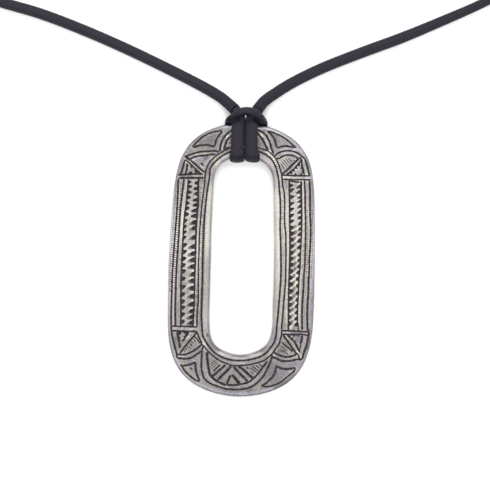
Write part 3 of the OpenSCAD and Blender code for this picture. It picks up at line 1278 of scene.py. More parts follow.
ROUND_THE_OPENING = (
    Cut(0.38, (
        (3, 25.6), (1.6, 25.95), (0, 26.05), (-1.5, 25.9), (-3, 25.4), (-4, 24.9), (-4.8, 24.5),
        (-5.6, 23.9), (-6.4, 23.2), (-7, 22.6), (-7.5, 22), (-7.9, 21.4), (-8.1, 20.7), (-8.15, 19),
        (-8.3, 18), (-8.55, 16), (-8.65, 15), (-8.9, 12), (-9.1, 8), (-9.15, 5), (-9.2, 1), (-9.2, -1),
        (-9.1, -5), (-9.1, -13), (-9, -15), (-8.8, -17), (-8.65, -18.3), (-8.2, -19.2), (-7.6, -20.2),
        (-7.2, -20.7), (-6.7, -21.3), (-6.2, -21.8), (-5.6, -22.3), (-5, -22.7), (-4.2, -23.1),
        (-3.4, -23.45), (-2.5, -23.7), (-1.5, -23.87), (-0.5, -23.95), (0.5, -23.93), (1.5, -23.85),
        (2.5, -23.68), (3.5, -23.4), (4.5, -23.1), (5.3, -22.75), (6, -22.3), (6.6, -21.8), (7.1, -21.2),
        (7.5, -20.6), (7.9, -20.1), (8.3, -19.4), (8.5, -18.8), (8.65, -18), (8.75, -17), (8.8, -15.5),
        (8.9, -14.5), (9, -13), (9.15, -10), (9.3, -7), (9.4, -3), (9.3, 0), (9.1, 4), (8.95, 6),
        (8.85, 8), (8.85, 11), (8.7, 14), (8.6, 15), (8.45, 16), (8.35, 17), (8.25, 18.3), (8.1, 19.3),
        (7.9, 20.2), (7.7, 20.9), (7.4, 21.8), (7, 22.7), (6.5, 23.5), (5.8, 24.2), (4.9, 24.8),
        (4, 25.2), (2.6, 25.7),
    )),
    Cut(0.31, (
        (4, 26.1), (3, 26.4), (1.6, 26.75), (0, 26.85), (-1.8, 26.6), (-3.4, 26.1), (-4.5, 25.6),
        (-5.4, 25.1), (-6.2, 24.6), (-6.9, 24), (-7.5, 23.4), (-8.1, 22.8), (-8.5, 22.1), (-8.8, 21.5),
        (-9, 20.8), (-9.15, 20), (-9.2, 19), (-9.3, 17.5), (-9.5, 15), (-9.65, 13.5), (-9.85, 10.5),
        (-10.05, 7), (-10.1, 5), (-10.1, 1), (-10.15, -1), (-10.1, -3), (-10, -7), (-9.9, -10),
        (-10, -12), (-10.1, -14), (-10, -16.5),
    )),
    Cut(0.32, (
        (-8.7, -20.3), (-8.3, -20.8), (-7.6, -21.6), (-7, -22.2), (-6.4, -22.7), (-5.8, -23.2),
        (-5.2, -23.65), (-4.6, -24), (-4, -24.3), (-3, -24.65), (-2.2, -24.95), (-1.4, -25.15),
        (-0.5, -25.15), (1, -25.05), (2, -24.95), (3, -24.75), (4, -24.45), (5, -24.15), (6, -23.75),
        (6.8, -23.15), (7.4, -22.55), (8, -21.95), (8.3, -21.5), (8.7, -20.9), (9.2, -20.2),
        (9.5, -19.6), (9.7, -18.9), (9.9, -18), (10, -17), (9.95, -15.5), (10.05, -14), (10.2, -11),
        (10.35, -8), (10.45, -6.5), (10.55, -5), (10.5, -2.5), (10.45, 0.5), (10.35, 3.5), (10.25, 6),
        (10.1, 7), (9.95, 8), (9.8, 10), (9.75, 13.3), (9.57, 15.7), (9.38, 16.7), (9.18, 17.5),
        (9.05, 18.5), (8.9, 19.7), (8.8, 20.4), (8.5, 21.3), (8.2, 22.2), (7.8, 23), (7.3, 23.9),
        (6.7, 24.6), (5.9, 25.3), (5, 25.8), (3.6, 26.2),
    )),
)

LEFT_ZIGZAG_OUTSIDE = Cut(0.35, (
    (-13.1, 18.6), (-13.15, 17), (-13.3, 15), (-13.5, 12), (-13.7, 10.5), (-13.9, 8), (-13.95, 5),
    (-14.05, 1), (-14.15, -5), (-14.15, -7), (-14, -11), (-13.9, -15), (-13.9, -16.4),
))
LEFT_ZIGZAG_INSIDE = Cut(0.36, (
    (-10.7, 18.8), (-10.7, 15), (-10.65, 13), (-10.7, 11.5), (-10.85, 9), (-10.95, 5), (-10.9, 0),
    (-10.95, -5), (-10.9, -9), (-10.95, -15), (-11, -16.4),
))
LEFT_BAR = (
    Cut(0.4, (
        (-15.5, 18.6), (-15.5, 15), (-15.6, 11), (-15.8, 7), (-16, 3), (-16.15, -1), (-16.25, -5),
        (-16.25, -13), (-16.2, -15), (-16.1, -17), (-15.9, -18.5), (-15.7, -19.3), (-15.5, -20),
        (-15.2, -21), (-14.9, -22), (-14.6, -22.8), (-14.6, -23.3), (-14.7, -23.8),
    )),
    Cut(0.4, (
        (-14.15, 18.6), (-14.3, 17), (-14.48, 15), (-14.75, 12), (-14.92, 8.5), (-15.03, 5), (-15.17, 1),
        (-15.3, -3), (-15.35, -7), (-15.3, -13), (-15.2, -15), (-15.1, -16.5),
    )),
    LEFT_ZIGZAG_OUTSIDE,
    LEFT_ZIGZAG_INSIDE,
    Cut(0.22, ((-16.1, 15), (-16.45, 8), (-16.75, 2), (-16.88, -3), (-16.8, -8)), Bite.TOUCH),
    Cut(0.38, ((-15.8, 19.35), (-14.5, 19.45), (-12, 19.7), (-9.5, 19.75))),
    Cut(0.48, ((-15.6, 18.6), (-13.5, 18.72), (-9.4, 18.85))),
    Cut(0.36, ((-16.1, -16.4), (-13.5, -16.35), (-9.9, -16.4))),
    Cut(0.38, ((-16, -17.45), (-13, -17.5), (-9.8, -17.45))),
)
LEFT_WEDGES = (
    WedgeColumn(LEFT_ZIGZAG_OUTSIDE, (
        (17.7, -12.4, 17.8), (16.6, -12.1, 16.8), (15.4, -12.2, 15.4), (14.05, -12.4, 14.2),
        (12.8, -12.6, 12.8), (11.5, -12.6, 11.7), (10.1, -12.7, 10.2), (8.5, -13, 8.8),
        (7.1, -13.1, 7.4), (5.8, -13.1, 6.1), (4.6, -13.1, 4.8), (2.7, -12.9, 3.1), (1.1, -12.9, 1.5),
        (-0.5, -13, -0.2), (-2, -13.1, -1.7), (-3.5, -13, -3.1), (-5.2, -13, -4.9), (-7.2, -12.9, -6.8),
        (-8.9, -13, -8.6), (-10.6, -13, -10.3), (-12.1, -12.9, -11.7), (-13.7, -12.9, -13.3),
        (-15.4, -12.9, -15.1),
    ), 1.35, 0.55, 1.0),
    WedgeColumn(LEFT_ZIGZAG_INSIDE, (
        (17.7, -11.8, 17.55), (16.45, -12, 16.2), (15.15, -11.8, 15.05), (13.75, -12.1, 13.45),
        (12.55, -12.1, 12.35), (11.3, -12.4, 10.95), (10, -12.5, 9.7),
    ), 1.3, 0.45, 0.92),
    WedgeColumn(LEFT_ZIGZAG_INSIDE, (
        (8.4, -12.8, 8.1), (7.1, -12.7, 6.7), (4.9, -12.7, 4.5), (2.7, -12.85, 2.4),
        (1.08, -12.95, 0.66), (-0.42, -12.95, -0.74), (-2, -12.95, -2.3), (-3.8, -12.5, -4.1),
        (-5.4, -12.65, -5.5), (-7.2, -12.75, -7.2), (-9.05, -12.75, -9.25), (-10.9, -12.8, -11.2),
        (-12.5, -12.5, -12.9), (-13.9, -12.7, -14.3), (-15.3, -12.6, -15.6),
    ), 1.2, 0.9, 0.66),
)

RIGHT_ZIGZAG_INSIDE = Cut(0.36, (
    (10.65, 19.1), (10.7, 17.5), (10.85, 15), (10.95, 12.5), (11.1, 8.5), (11.25, 5.5), (11.35, 1),
    (11.35, -9), (11.45, -13), (11.5, -15), (11.6, -16.6),
))
RIGHT_ZIGZAG_OUTSIDE = Cut(0.28, (
    (13.45, 19.05), (13.5, 17.5), (13.6, 16), (13.75, 14), (13.88, 11), (13.95, 7), (13.85, 1),
    (13.85, -2), (13.7, -4), (13.65, -9), (13.6, -11), (13.7, -14.5), (13.9, -15.5), (13.9, -16.6),
))
RIGHT_BAR = (
    RIGHT_ZIGZAG_INSIDE,
    RIGHT_ZIGZAG_OUTSIDE,
    Cut(0.42, ((13.5, 19), (13.55, 17), (13.65, 15), (13.75, 13.2))),
    Cut(0.36, (
        (14.2, 19.1), (14.35, 17.5), (14.5, 16), (14.6, 13), (14.8, 10), (14.9, 7.5), (14.95, 4.5),
        (14.95, -1.5), (14.85, -3), (14.8, -7), (14.65, -11), (14.65, -13), (14.8, -16.5),
    )),
    Cut(0.42, (
        (15.4, 19.2), (15.55, 17.5), (15.65, 16), (15.75, 13), (15.9, 10), (16.05, 8.5), (16.1, 4),
        (16, 1), (16, -0.5), (16.05, -2), (15.95, -5), (16, -7), (15.9, -11), (15.9, -13), (16.1, -16),
        (16.3, -17), (16.25, -18), (16.1, -19), (15.9, -20), (15.6, -21), (15.3, -22), (15.1, -22.9),
        (14.95, -23.3),
    )),
    Cut(0.33, ((8.8, 20.08), (12, 20.03), (15.6, 20.08))),
    Cut(0.33, ((8.95, 19.08), (12.5, 19.1), (15.9, 19.2))),
    Cut(0.34, ((10.6, 18.85), (12, 18.6), (13.4, 18.5))),
    Cut(0.36, ((10, -16.65), (13, -16.65), (16.2, -16.8))),
    Cut(0.38, ((10, -17.5), (12.8, -17.5), (15, -17.4), (16.2, -17.65))),
    Cut(0.5, ((16.5, -15.8), (16.55, -17.5), (16.4, -19.3), (16.1, -21)), Bite.FAINT),
)
RIGHT_WEDGES = (
    WedgeColumn(RIGHT_ZIGZAG_INSIDE, (
        (17.6, 11.8, 17.8), (16.35, 12.1, 17), (14.75, 12.15, 15.25), (13.2, 12.15, 13.7),
        (11.85, 12.2, 12.4), (10.35, 12.3, 11.1), (9.05, 12.3, 9.6),
    ), 1.2, 0.25, 1.0),
    WedgeColumn(RIGHT_ZIGZAG_INSIDE, (
        (7.6, 12.2, 8.1), (6.3, 12.5, 6.6), (4.8, 12.4, 5.1), (3.2, 12.4, 3.6), (1.7, 12.5, 2.1),
        (0.3, 12.5, 0.7), (-1.1, 12.6, -0.8), (-2.6, 12.6, -2.3), (-4.1, 12.4, -3.9), (-5.7, 12.6, -5.4),
        (-7.4, 12.7, -7), (-9.1, 12.6, -8.7), (-10.6, 12.6, -10.2), (-11.9, 12.2, -11.8),
        (-13.4, 12.3, -13.3), (-14.9, 12.4, -14.8),
    ), 1.35, 0.62, 0.8),
    WedgeColumn(RIGHT_ZIGZAG_OUTSIDE, (
        (17.75, 12.15, 17.1), (16.5, 12.1, 15.85), (15.15, 12.5, 14.7), (14.25, 12.5, 13.75),
        (13.1, 12.5, 12.45), (11.8, 12.6, 11.15), (10.4, 12.65, 9.95), (9.05, 12.8, 8.5),
        (7.7, 12.9, 7.3), (6.4, 12.7, 6), (4.9, 12.7, 4.5), (3.4, 12.7, 2.9), (1.6, 12.9, 1.3),
        (0.2, 13, 0), (-1.2, 12.9, -1.4), (-2.6, 12.8, -2.9), (-4.2, 12.7, -4.4), (-5.8, 12.8, -6),
        (-7.5, 12.8, -7.8), (-9.1, 12.8, -9.3), (-10.6, 12.7, -10.9), (-12.1, 12.7, -12.4),
        (-13.5, 12.6, -13.9), (-14.9, 12.6, -15.3),
    ), 1.4, 0.3, 0.85),
)

BEADS = (
    BeadRow((
        (-15.98, 15.5), (-16.08, 13), (-16.26, 8), (-16.46, 3), (-16.66, -1), (-16.72, -8),
    ), breadth=0.46),
    BeadRow(((-14.85, 16.5), (-15.33, 8), (-15.52, 4), (-15.7, 0), (-15.78, -6)), breadth=0.55),
    BeadRow(((-8.9, 18), (-9.08, 15), (-9.32, 12), (-9.55, 8), (-9.65, 0), (-9.55, -12)), breadth=0.4),
    BeadRow(((-5, 24.9), (-6, 24.2), (-7.1, 23), (-7.9, 22.1), (-8.4, 21.1), (-8.6, 20)), breadth=0.4),
    BeadRow(((15.1, 12), (15.3, 10), (15.5, 3), (15.45, -3))),
    BeadRow(((16.35, 12), (16.5, 8), (16.6, 2), (16.55, -4))),
    BeadRow(((9.25, 14), (9.33, 9), (9.7, 4)), breadth=0.4),
    BeadRow(((5.3, 25.1), (6.2, 24.4), (7.1, 23.3), (7.7, 22.2), (8.1, 21)), breadth=0.4),
    BeadRow(((3.4, 29.5), (4.2, 28.7), (4.9, 27.6), (5.4, 26.5), (5.9, 25.5)), bite=Bite.TOUCH),
    BeadRow(((-3.9, 29.1), (-4.7, 28.2), (-5.1, 27.2), (-5.35, 26)), bite=Bite.TOUCH),
)

TOP_LEFT = (
    Cut(0.75, ((-12.3, 26.85), (-10.9, 28.15), (-8.95, 29.4), (-7, 30.2), (-5.3, 30.55)), Bite.TOUCH),
    Cut(0.34, (
        (-5.4, 30.15), (-6.5, 29.95), (-7.5, 29.75), (-8.3, 29.5), (-9, 29.15), (-9.7, 28.75),
        (-10.3, 28.3), (-10.9, 27.7), (-11.5, 27.1), (-12, 26.5), (-12.5, 26),
    )),
    Cut(0.36, (
        (-5.3, 30.05), (-5.9, 29.4), (-6.3, 28.9), (-6.6, 28.3), (-6.9, 27.6), (-7, 27), (-7.15, 26.3),
    )),
    Cut(0.44, (
        (-12.5, 25.95), (-11.6, 26.15), (-11, 26.4), (-10.3, 26.5), (-9.5, 26.6), (-8.7, 26.6),
        (-7.9, 26.4), (-7, 26.35),
    )),
    Cut(0.38, (
        (-14.1, 23.7), (-13.4, 24), (-12.8, 24.25), (-12, 24.55), (-11, 24.85), (-10, 25.05),
        (-9, 25.15), (-8, 25.2), (-7, 25.3), (-6.6, 25.15), (-6, 25.1),
    )),
    Cut(0.38, (
        (-13, 23.1), (-12.3, 23.5), (-11.6, 23.8), (-10.7, 24), (-9.7, 24.1), (-8.7, 24.25),
        (-7.7, 24.45), (-6.7, 24.4),
    )),
    Cut(0.6, ((-14.2, 24), (-13.5, 23.4), (-12.6, 22.9)), Bite.DEEP),
    Cut(0.4, ((-12.9, 23.1), (-12.2, 22.4), (-11.4, 21.8), (-10.8, 21.3), (-10.1, 20.7), (-9.2, 20.05))),
    Cut(0.4, (
        (-14.1, 23.1), (-13.3, 22.5), (-12.5, 21.8), (-12, 21.3), (-11.4, 20.8), (-10.7, 20.2),
        (-10.1, 19.75),
    )),
    Cut(0.42, ((-14, 23.1), (-14.3, 22), (-14.55, 21), (-14.8, 20.3), (-15.1, 19.4))),
    Cut(0.34, ((-13.6, 22.4), (-13.6, 21), (-13.7, 20.4), (-13.95, 19.5))),
    *strokes(0.2, Bite.HALF, (-12.3, 22.95, -10.2, 21.4), (-11.8, 23.2, -10.1, 21.95),
             (-11.2, 23.4, -9.4, 22.1),
             (-10.7, 23.65, -9.1, 22.5)),
    *strokes(0.24, Bite.HALF, (-10.2, 23.85, -8.85, 22.85), (-9.7, 24, -8.55, 23.1),
             (-9.15, 24.1, -8.25, 23.4)),
    *strokes(0.34, Bite.PLAIN, (-10.5, 22.35, -9.45, 21.65)),
    *strokes(0.15, Bite.FAINT, (-10.2, 21.3, -9.3, 20.7), (-8.6, 24.15, -7.8, 23.6)),
)

TOP_CENTRE = (
    # Painted shadow: a faint stained cut where the loop's right leg shades the top bar
    Cut(0.45, ((2.5, 31.25), (4, 31.25)), Bite.FAINT),
    Cut(0.5, ((2.55, 30), (3.05, 29.5), (3.5, 29))),
    Cut(0.42, (
        (-5.95, 25), (-5.8, 26.5), (-5.6, 27.3), (-5.3, 28), (-4.9, 28.7), (-4.2, 29.5), (-3.4, 30.1),
        (-2.5, 30.6), (-1.2, 30.85), (0.5, 30.95), (2, 30.75), (2.8, 30.5), (3.6, 30.2), (4.3, 29.8),
        (4.9, 29.3), (5.3, 28.6), (5.7, 27.9), (6, 27.1), (6.2, 26.4), (6.5, 25.7), (6.85, 24.9),
    )),
    Cut(0.46, (
        (-5, 25.5), (-4.8, 26.3), (-4.6, 27), (-4.3, 27.8), (-3.9, 28.4), (-3.4, 28.8), (-2.4, 29.5),
        (-1, 29.85), (0.6, 29.95), (2, 29.95), (2.7, 29.8), (3.1, 29.3), (3.6, 28.9), (4, 28.4),
        (4.4, 27.7), (4.8, 27), (5.1, 26.4), (5.6, 25.7),
    )),
    *strokes(0.24, Bite.PLAIN, (-2.9, 28.2, -3.7, 27.85), (-2.9, 27.5, -4, 27.1)),
    *strokes(0.16, Bite.FAINT, (2.7, 27.9, 3.9, 26.6), (2.9, 27.1, 3.6, 26.6)),
    Cut(0.3, ((-4.9, 25.75), (-4.2, 26.1), (-3.5, 26.35))),
)

TOP_RIGHT = (
    Cut(0.4, (
        (5, 30.4), (5.8, 29.8), (6.3, 29.3), (6.7, 28.8), (7, 28.2), (7.2, 27.5), (7.35, 27),
        (7.6, 26.3),
    )),
    Cut(0.32, (
        (5, 30.35), (6, 30.2), (7, 29.85), (8, 29.45), (9, 28.95), (9.6, 28.6), (10.3, 28), (10.9, 27.5),
        (11.3, 27.15), (12, 26.75),
    )),
    Cut(0.38, (
        (7.5, 26.35), (8.2, 26.65), (9, 26.9), (9.8, 26.95), (10.5, 26.85), (11.2, 26.75), (12.2, 26.75),
    )),
    Cut(0.36, (
        (6.9, 24.3), (7.5, 25), (8, 25.3), (8.7, 25.6), (9.5, 25.8), (10.5, 25.85), (11.5, 25.7),
        (12.4, 25.4), (13.1, 24.9), (13.6, 24.5), (14.3, 24),
    )),
    Cut(0.36, (
        (7.3, 23.9), (8.2, 24), (8.9, 24.5), (9.6, 24.75), (10.5, 24.85), (11.3, 24.75), (12, 24.5),
        (12.7, 24.05),
    )),
    Cut(0.44, (
        (13.4, 24.5), (12.5, 23.8), (11.8, 23.1), (11, 22.3), (10.4, 21.6), (9.8, 21), (9.2, 20.55),
        (8.6, 20.2),
    )),
    Cut(0.38, (
        (13.55, 24.15), (13.2, 23.6), (12.7, 22.8), (12.2, 22.2), (11.6, 21.5), (11, 21), (10.5, 20.6),
        (9.9, 20),
    )),
    Cut(0.42, ((13.45, 24.1), (13.5, 22.7), (13.7, 22), (13.9, 21.3), (14.15, 20.2))),
    Cut(0.44, ((14.1, 24.2), (14.5, 23.3), (14.8, 22.4), (15, 21.6), (15.3, 20.6), (15.5, 19.9))),
    *strokes(0.24, Bite.HALF, (8.85, 23.95, 10.4, 22.4), (9.5, 24.05, 10.8, 22.75),
             (8.5, 22.85, 9.45, 21.45)),
    *strokes(0.2, Bite.HALF, (8.35, 23.65, 10.05, 22), (10.15, 24.3, 11.05, 23.2)),
    *strokes(0.22, Bite.HALF, (11.5, 23.8, 11.85, 23.45)),
    *strokes(0.6, Bite.FAINT, (10.75, 23.7, 11.25, 23.3)),
)

BOTTOM_LEFT = (
    Cut(0.45, ((-7.65, -17.8), (-7.45, -18.7)), Bite.FAINT),
    Cut(0.4, (
        (-10.1, -17.5), (-10.6, -18.4), (-11.1, -19), (-11.7, -19.7), (-12.3, -20.5), (-12.9, -21.2),
        (-13.4, -21.9), (-14, -22.8),
    )),
    Cut(0.46, ((-14.75, -17.5), (-14.5, -18.6), (-14.3, -19.4), (-14.1, -20.3), (-13.95, -21.6))),
    Cut(0.42, ((-12, -17.6), (-12.3, -18.3), (-12.8, -19), (-13.4, -19.95))),
    Cut(0.24, ((-13.3, -19.8), (-13.6, -20.7), (-13.95, -21.5)), Bite.FAINT),
    Cut(0.36, ((-10, -17.45), (-9.8, -18.2), (-9.5, -18.9), (-9.1, -19.6), (-8.6, -20.4))),
    Cut(0.26, ((-10.7, -18.5), (-10, -19.2), (-9.4, -19.9), (-8.9, -20.35))),
    *strokes(0.3, Bite.HALF, (-11.65, -20.2, -11, -20.9), (-12.75, -21.3, -12.2, -21.9)),
    *strokes(0.25, Bite.HALF, (-10.9, -19.1, -10.15, -19.85), (-11.4, -19.6, -10.6, -20.45),
             (-12.35, -20.8, -11.85, -21.45), (-13.1, -21.7, -12.5, -22.35)),
    *strokes(0.4, Bite.FAINT, (-11.9, -20.7, -11.3, -21.5)),
    Cut(0.4, (
        (-8.6, -20.25), (-9.2, -20.8), (-9.9, -21.4), (-10.7, -21.95), (-11.6, -22.45), (-12.5, -22.8),
        (-13.3, -22.95), (-14.5, -22.9),
    )),
    Cut(0.42, (
        (-8.6, -21.85), (-9.3, -22.3), (-10, -22.8), (-10.8, -23.4), (-11.6, -23.75), (-12.5, -23.9),
        (-13.5, -23.85), (-14.7, -23.75),
    )),
    Cut(0.42, (
        (-13.9, -25.4), (-13, -25.5), (-12.3, -25.45), (-11.5, -25.25), (-10.8, -24.95), (-10.1, -24.5),
    )),
    Cut(0.42, (
        (-10.2, -24.4), (-10.15, -25.3), (-10.05, -26.2), (-9.9, -27), (-9.7, -27.7), (-9.3, -28.4),
        (-8.9, -29.2),
    )),
    Cut(0.4, (
        (-13.6, -25.4), (-13.1, -26), (-12.7, -26.7), (-12, -27.4), (-11.3, -28), (-10.6, -28.5),
        (-9.8, -29), (-8.9, -29.2),
    )),
    *strokes(0.45, Bite.PLAIN, (-11.35, -26.0, -10.9, -26.35)),
    *strokes(0.24, Bite.FAINT, (-13.6, -18.6, -13.2, -18.95), (-13.55, -20.3, -13.4, -20.6)),
)

BOTTOM_CENTRE = (
    Cut(0.4, (
        (-8.4, -20.7), (-8.65, -21.6), (-8.7, -22.5), (-8.75, -24), (-8.75, -25), (-8.7, -26),
        (-8.5, -27), (-8.2, -28), (-7.8, -28.6), (-7.2, -29.1), (-6.6, -29.5), (-6, -29.8), (-5, -30.1),
        (-4, -30.4), (-3.2, -30.6), (-2.8, -30.8), (-2, -30.75), (-1, -30.85), (0, -30.8), (1, -30.7),
        (2, -30.5), (3, -30.15), (3.8, -29.7), (4.5, -29.1), (5.2, -28.4), (5.8, -27.7), (6.3, -26.9),
        (6.7, -26), (7.1, -25.1), (7.5, -24.2), (7.75, -23.4), (7.95, -22.1),
    )),
    Cut(0.5, (
        (-7.5, -22), (-7.45, -23), (-7.35, -24), (-7.2, -25), (-7, -26), (-6.8, -27), (-6.5, -27.7),
        (-6.1, -28.1), (-5.5, -28.6), (-4.9, -29), (-4, -29.4), (-3.3, -29.7), (-2.6, -29.85),
    ), Bite.DEEP),
    Cut(0.42, (
        (-2.8, -29.85), (-1.8, -29.8), (-0.9, -29.8), (-0.2, -29.7), (0.5, -29.55), (1.2, -29.4),
        (2, -29.2), (2.8, -28.8), (3.4, -28.3), (4, -27.7), (4.5, -27.1), (5, -26.5), (5.5, -25.8),
        (5.9, -25.2), (6.3, -24.6), (6.9, -23.8),
    )),
    Cut(0.5, ((-2.95, -24.9), (-3.7, -25.7), (-4.5, -26.4), (-5.3, -27.2), (-6.2, -28))),
    Cut(0.56, ((-1.6, -25.2), (-2.3, -26), (-3, -26.8), (-3.7, -27.5), (-4.4, -28.3), (-5, -29))),
    Cut(0.54, ((-1.2, -25.3), (-0.6, -26), (0.1, -26.7), (0.8, -27.4), (1.6, -28.1), (2.4, -28.9))),
    Cut(0.58, ((-0.1, -25.1), (0.8, -25.8), (1.6, -26.4), (2.4, -27.1), (3, -27.6), (3.6, -28.15))),
    Cut(0.48, ((-1.7, -27.3), (-2, -28), (-2.3, -28.7), (-2.65, -29.8))),
    Cut(0.6, ((-1.5, -27.2), (-0.8, -28), (-0.2, -28.7), (0.6, -29.6)), Bite.DEEP),
    *strokes(0.32, Bite.PLAIN, (-4.15, -24.9, -6, -26.7), (1.9, -25.3, 2.5, -25.9)),
    *strokes(0.19, Bite.HALF, (-4.6, -24.5, -6.45, -26.25), (-5, -24.15, -6.65, -25.75),
             (-5.4, -23.85, -6.8, -25.2)),
    *strokes(0.15, Bite.FAINT, (-5.8, -23.5, -6.9, -24.6), (-6.2, -23.2, -7, -24)),
    *strokes(0.26, Bite.PLAIN, (3.2, -25, 4.85, -26.4), (4, -24.8, 5.2, -25.75), (4.7, -24.55, 5.95, -25.4)),
    *strokes(0.3, Bite.HALF, (2.8, -25.4, 4.6, -26.85)),
    *strokes(0.45, Bite.FAINT, (2.6, -26.1, 3.9, -27.1)),
)

BOTTOM_RIGHT = (
    Cut(1.1, ((8.5, -30.4), (10.5, -29.4), (12.2, -28), (13.3, -26.6)), Bite.TOUCH),
    Cut(0.42, (
        (10.2, -17.5), (11, -18.5), (11.5, -19.1), (12, -19.8), (12.5, -20.4), (13, -21.1),
        (13.5, -21.7), (14, -21.95),
    )),
    Cut(0.36, ((11.2, -17.5), (11.7, -18.1), (12.3, -18.5), (12.9, -19))),
    Cut(0.46, ((12.8, -18.8), (13.4, -19.7), (13.8, -20.4), (14.35, -21.3))),
    Cut(0.5, ((14.05, -20.8), (14.45, -21.5))),
    Cut(0.42, ((14.95, -17.5), (14.8, -18.6), (14.65, -19.5))),
    Cut(0.34, ((14.65, -19.4), (14.55, -20.2), (14.4, -21)), Bite.HALF),
    Cut(0.32, ((10, -19.2), (10.7, -19.9), (11.4, -20.4), (12, -20.8), (12.8, -21.5))),
    *strokes(0.26, Bite.HALF, (10.1, -20.95, 11.85, -22.3), (9.65, -21, 10.55, -21.8)),
    *strokes(0.42, Bite.FAINT, (9.8, -20.1, 11.6, -21.4), (9.25, -20.85, 9.75, -21.6)),
    Cut(0.42, (
        (8.1, -21.5), (8.6, -21.9), (9.2, -22.2), (9.9, -22.5), (10.7, -22.7), (11.5, -22.75),
        (12.3, -22.6), (13, -22.35), (13.6, -22), (14.1, -21.7),
    )),
    Cut(0.44, (
        (7.9, -22.8), (8.8, -23.1), (9.4, -23.4), (10.2, -23.7), (11, -23.75), (12, -23.65),
        (13, -23.45), (14, -23.25), (15.1, -23.25),
    )),
    Cut(0.3, ((13.95, -21.8), (14.2, -22.5), (14.5, -23.2))),
    Cut(0.46, (
        (8.6, -25), (9.3, -25.15), (10, -25.45), (10.8, -25.6), (11.6, -25.6), (12.4, -25.5),
        (13.6, -25.15),
    )),
    Cut(0.42, (
        (8.9, -24.95), (8.8, -26), (8.6, -26.8), (8.2, -27.5), (7.6, -28.2), (7, -28.8), (6.4, -29.3),
        (5.5, -29.85),
    )),
    Cut(0.36, (
        (13.55, -25.1), (13.2, -26), (12.6, -26.6), (12, -27.1), (11.2, -27.8), (10.3, -28.6),
        (9.5, -29.1), (8.6, -29.5), (7.5, -29.85), (6.7, -29.95), (5.6, -29.85),
    )),
    Cut(0.22, ((9.1, -25.9), (9.3, -26.7), (9.7, -27.2)), Bite.TOUCH),
)

# Patches where the silver is painted lighter or darker: partly worn silver, partly painted highlight and
# painted shade, such as the lightened inner edge of the rim at the bottom of the opening
WEAR = patches(
    (9.5, 23.3, 1.8, 1.6, 0.9), (10.3, 25.7, 2.8, 0.9, 0.95), (12.2, 19.6, 3.2, 0.5, 0.9),
    (5.4, 27.6, 0.8, 2.2, 0.65), (13.2, 21.2, 1.8, 1.5, 0.35), (8.8, 28.0, 1.8, 1.0, 0.2),
    (-9.6, 23.2, 2.4, 1.5, 0.75), (-5.2, 26.8, 0.8, 2.0, 0.4), (-8.8, 28.2, 2.5, 1.1, -0.17),
    (-9.2, 14.5, 0.4, 4.5, 0.9), (-10.3, 14.0, 0.5, 6.0, -0.6), (-10.4, -11.0, 0.5, 5.5, -0.7),
    (-12.0, 15.5, 1.3, 3.0, -0.22), (-16.8, -11.0, 0.7, 8.0, 0.6), (-16.6, 5.0, 0.7, 9.0, 0.8),
    (-15.4, 6.0, 0.4, 5.0, 0.4), (11.2, 12.0, 1.8, 3.5, 0.2), (-1.4, -28.9, 0.8, 0.6, -0.2),
    (-14.7, -25.0, 1.0, 3.0, 0.25), (16.6, 3.0, 0.7, 9.0, 0.5), (14.4, 0.0, 0.35, 6.0, -0.4),
    (12.4, -10.0, 1.8, 7.0, -0.35), (9.75, -11.0, 0.35, 5.0, 0.4), (-15.0, -19.5, 0.6, 1.6, -0.45),
    (-8.2, -21.6, 0.4, 0.5, 0.3), (0.0, -24.5, 2.8, 0.5, 0.45), (-13.0, -16.95, 3.0, 0.4, 0.5),
    (1.0, -31.0, 7.5, 1.6, -0.18), (7.8, -25.8, 1.6, 2.2, -0.25), (-8.1, -1.5, 0.9, 4.5, -0.28),
    (8.3, -10.0, 0.9, 5.5, 0.2), (-7.4, 5.0, 0.3, 9.0, -0.45), (-6.3, 22.7, 1.0, 2.2, 0.8),
    (5.8, 23.0, 1.0, 2.0, 0.25), (15.2, -19.5, 0.6, 2.0, -0.15), (-7.9, -15.5, 0.9, 4.5, 0.8),
    (7.6, -15.5, 0.8, 3.6, 0.9), (6.7, -19.4, 0.9, 1.2, 0.9), (7.6, 15.0, 0.8, 4.0, 0.55),
    (-7.8, 15.0, 0.8, 3.5, 0.4), (-4.6, 24.0, 1.0, 0.8, 0.4), (6.7, 24.6, 0.8, 0.7, -0.3),
    (-12.2, 0.0, 1.1, 2.5, 0.25), (11.5, -29.0, 2.8, 1.2, -0.35), (4.2, -25.8, 1.3, 1.2, 0.2),
    (0.0, -22.4, 5.0, 0.45, 0.9), (-14.2, 8.0, 0.35, 3.5, 0.6), (9.5, 15.9, 0.45, 1.8, 0.5),
    (12.4, -4.6, 1.2, 2.0, 0.45), (15.4, 0.0, 0.3, 8.0, -0.3), (-4.4, -25.6, 1.2, 0.9, 0.3),
    (10.6, -20.6, 1.0, 1.0, -0.2), (-14.6, -0.5, 0.35, 4.5, -0.4), (-14.4, 20.8, 0.4, 1.4, -0.3),
    (11.4, 22.2, 0.7, 0.7, -0.45),
)
BRIDGE_RISE = 0.75
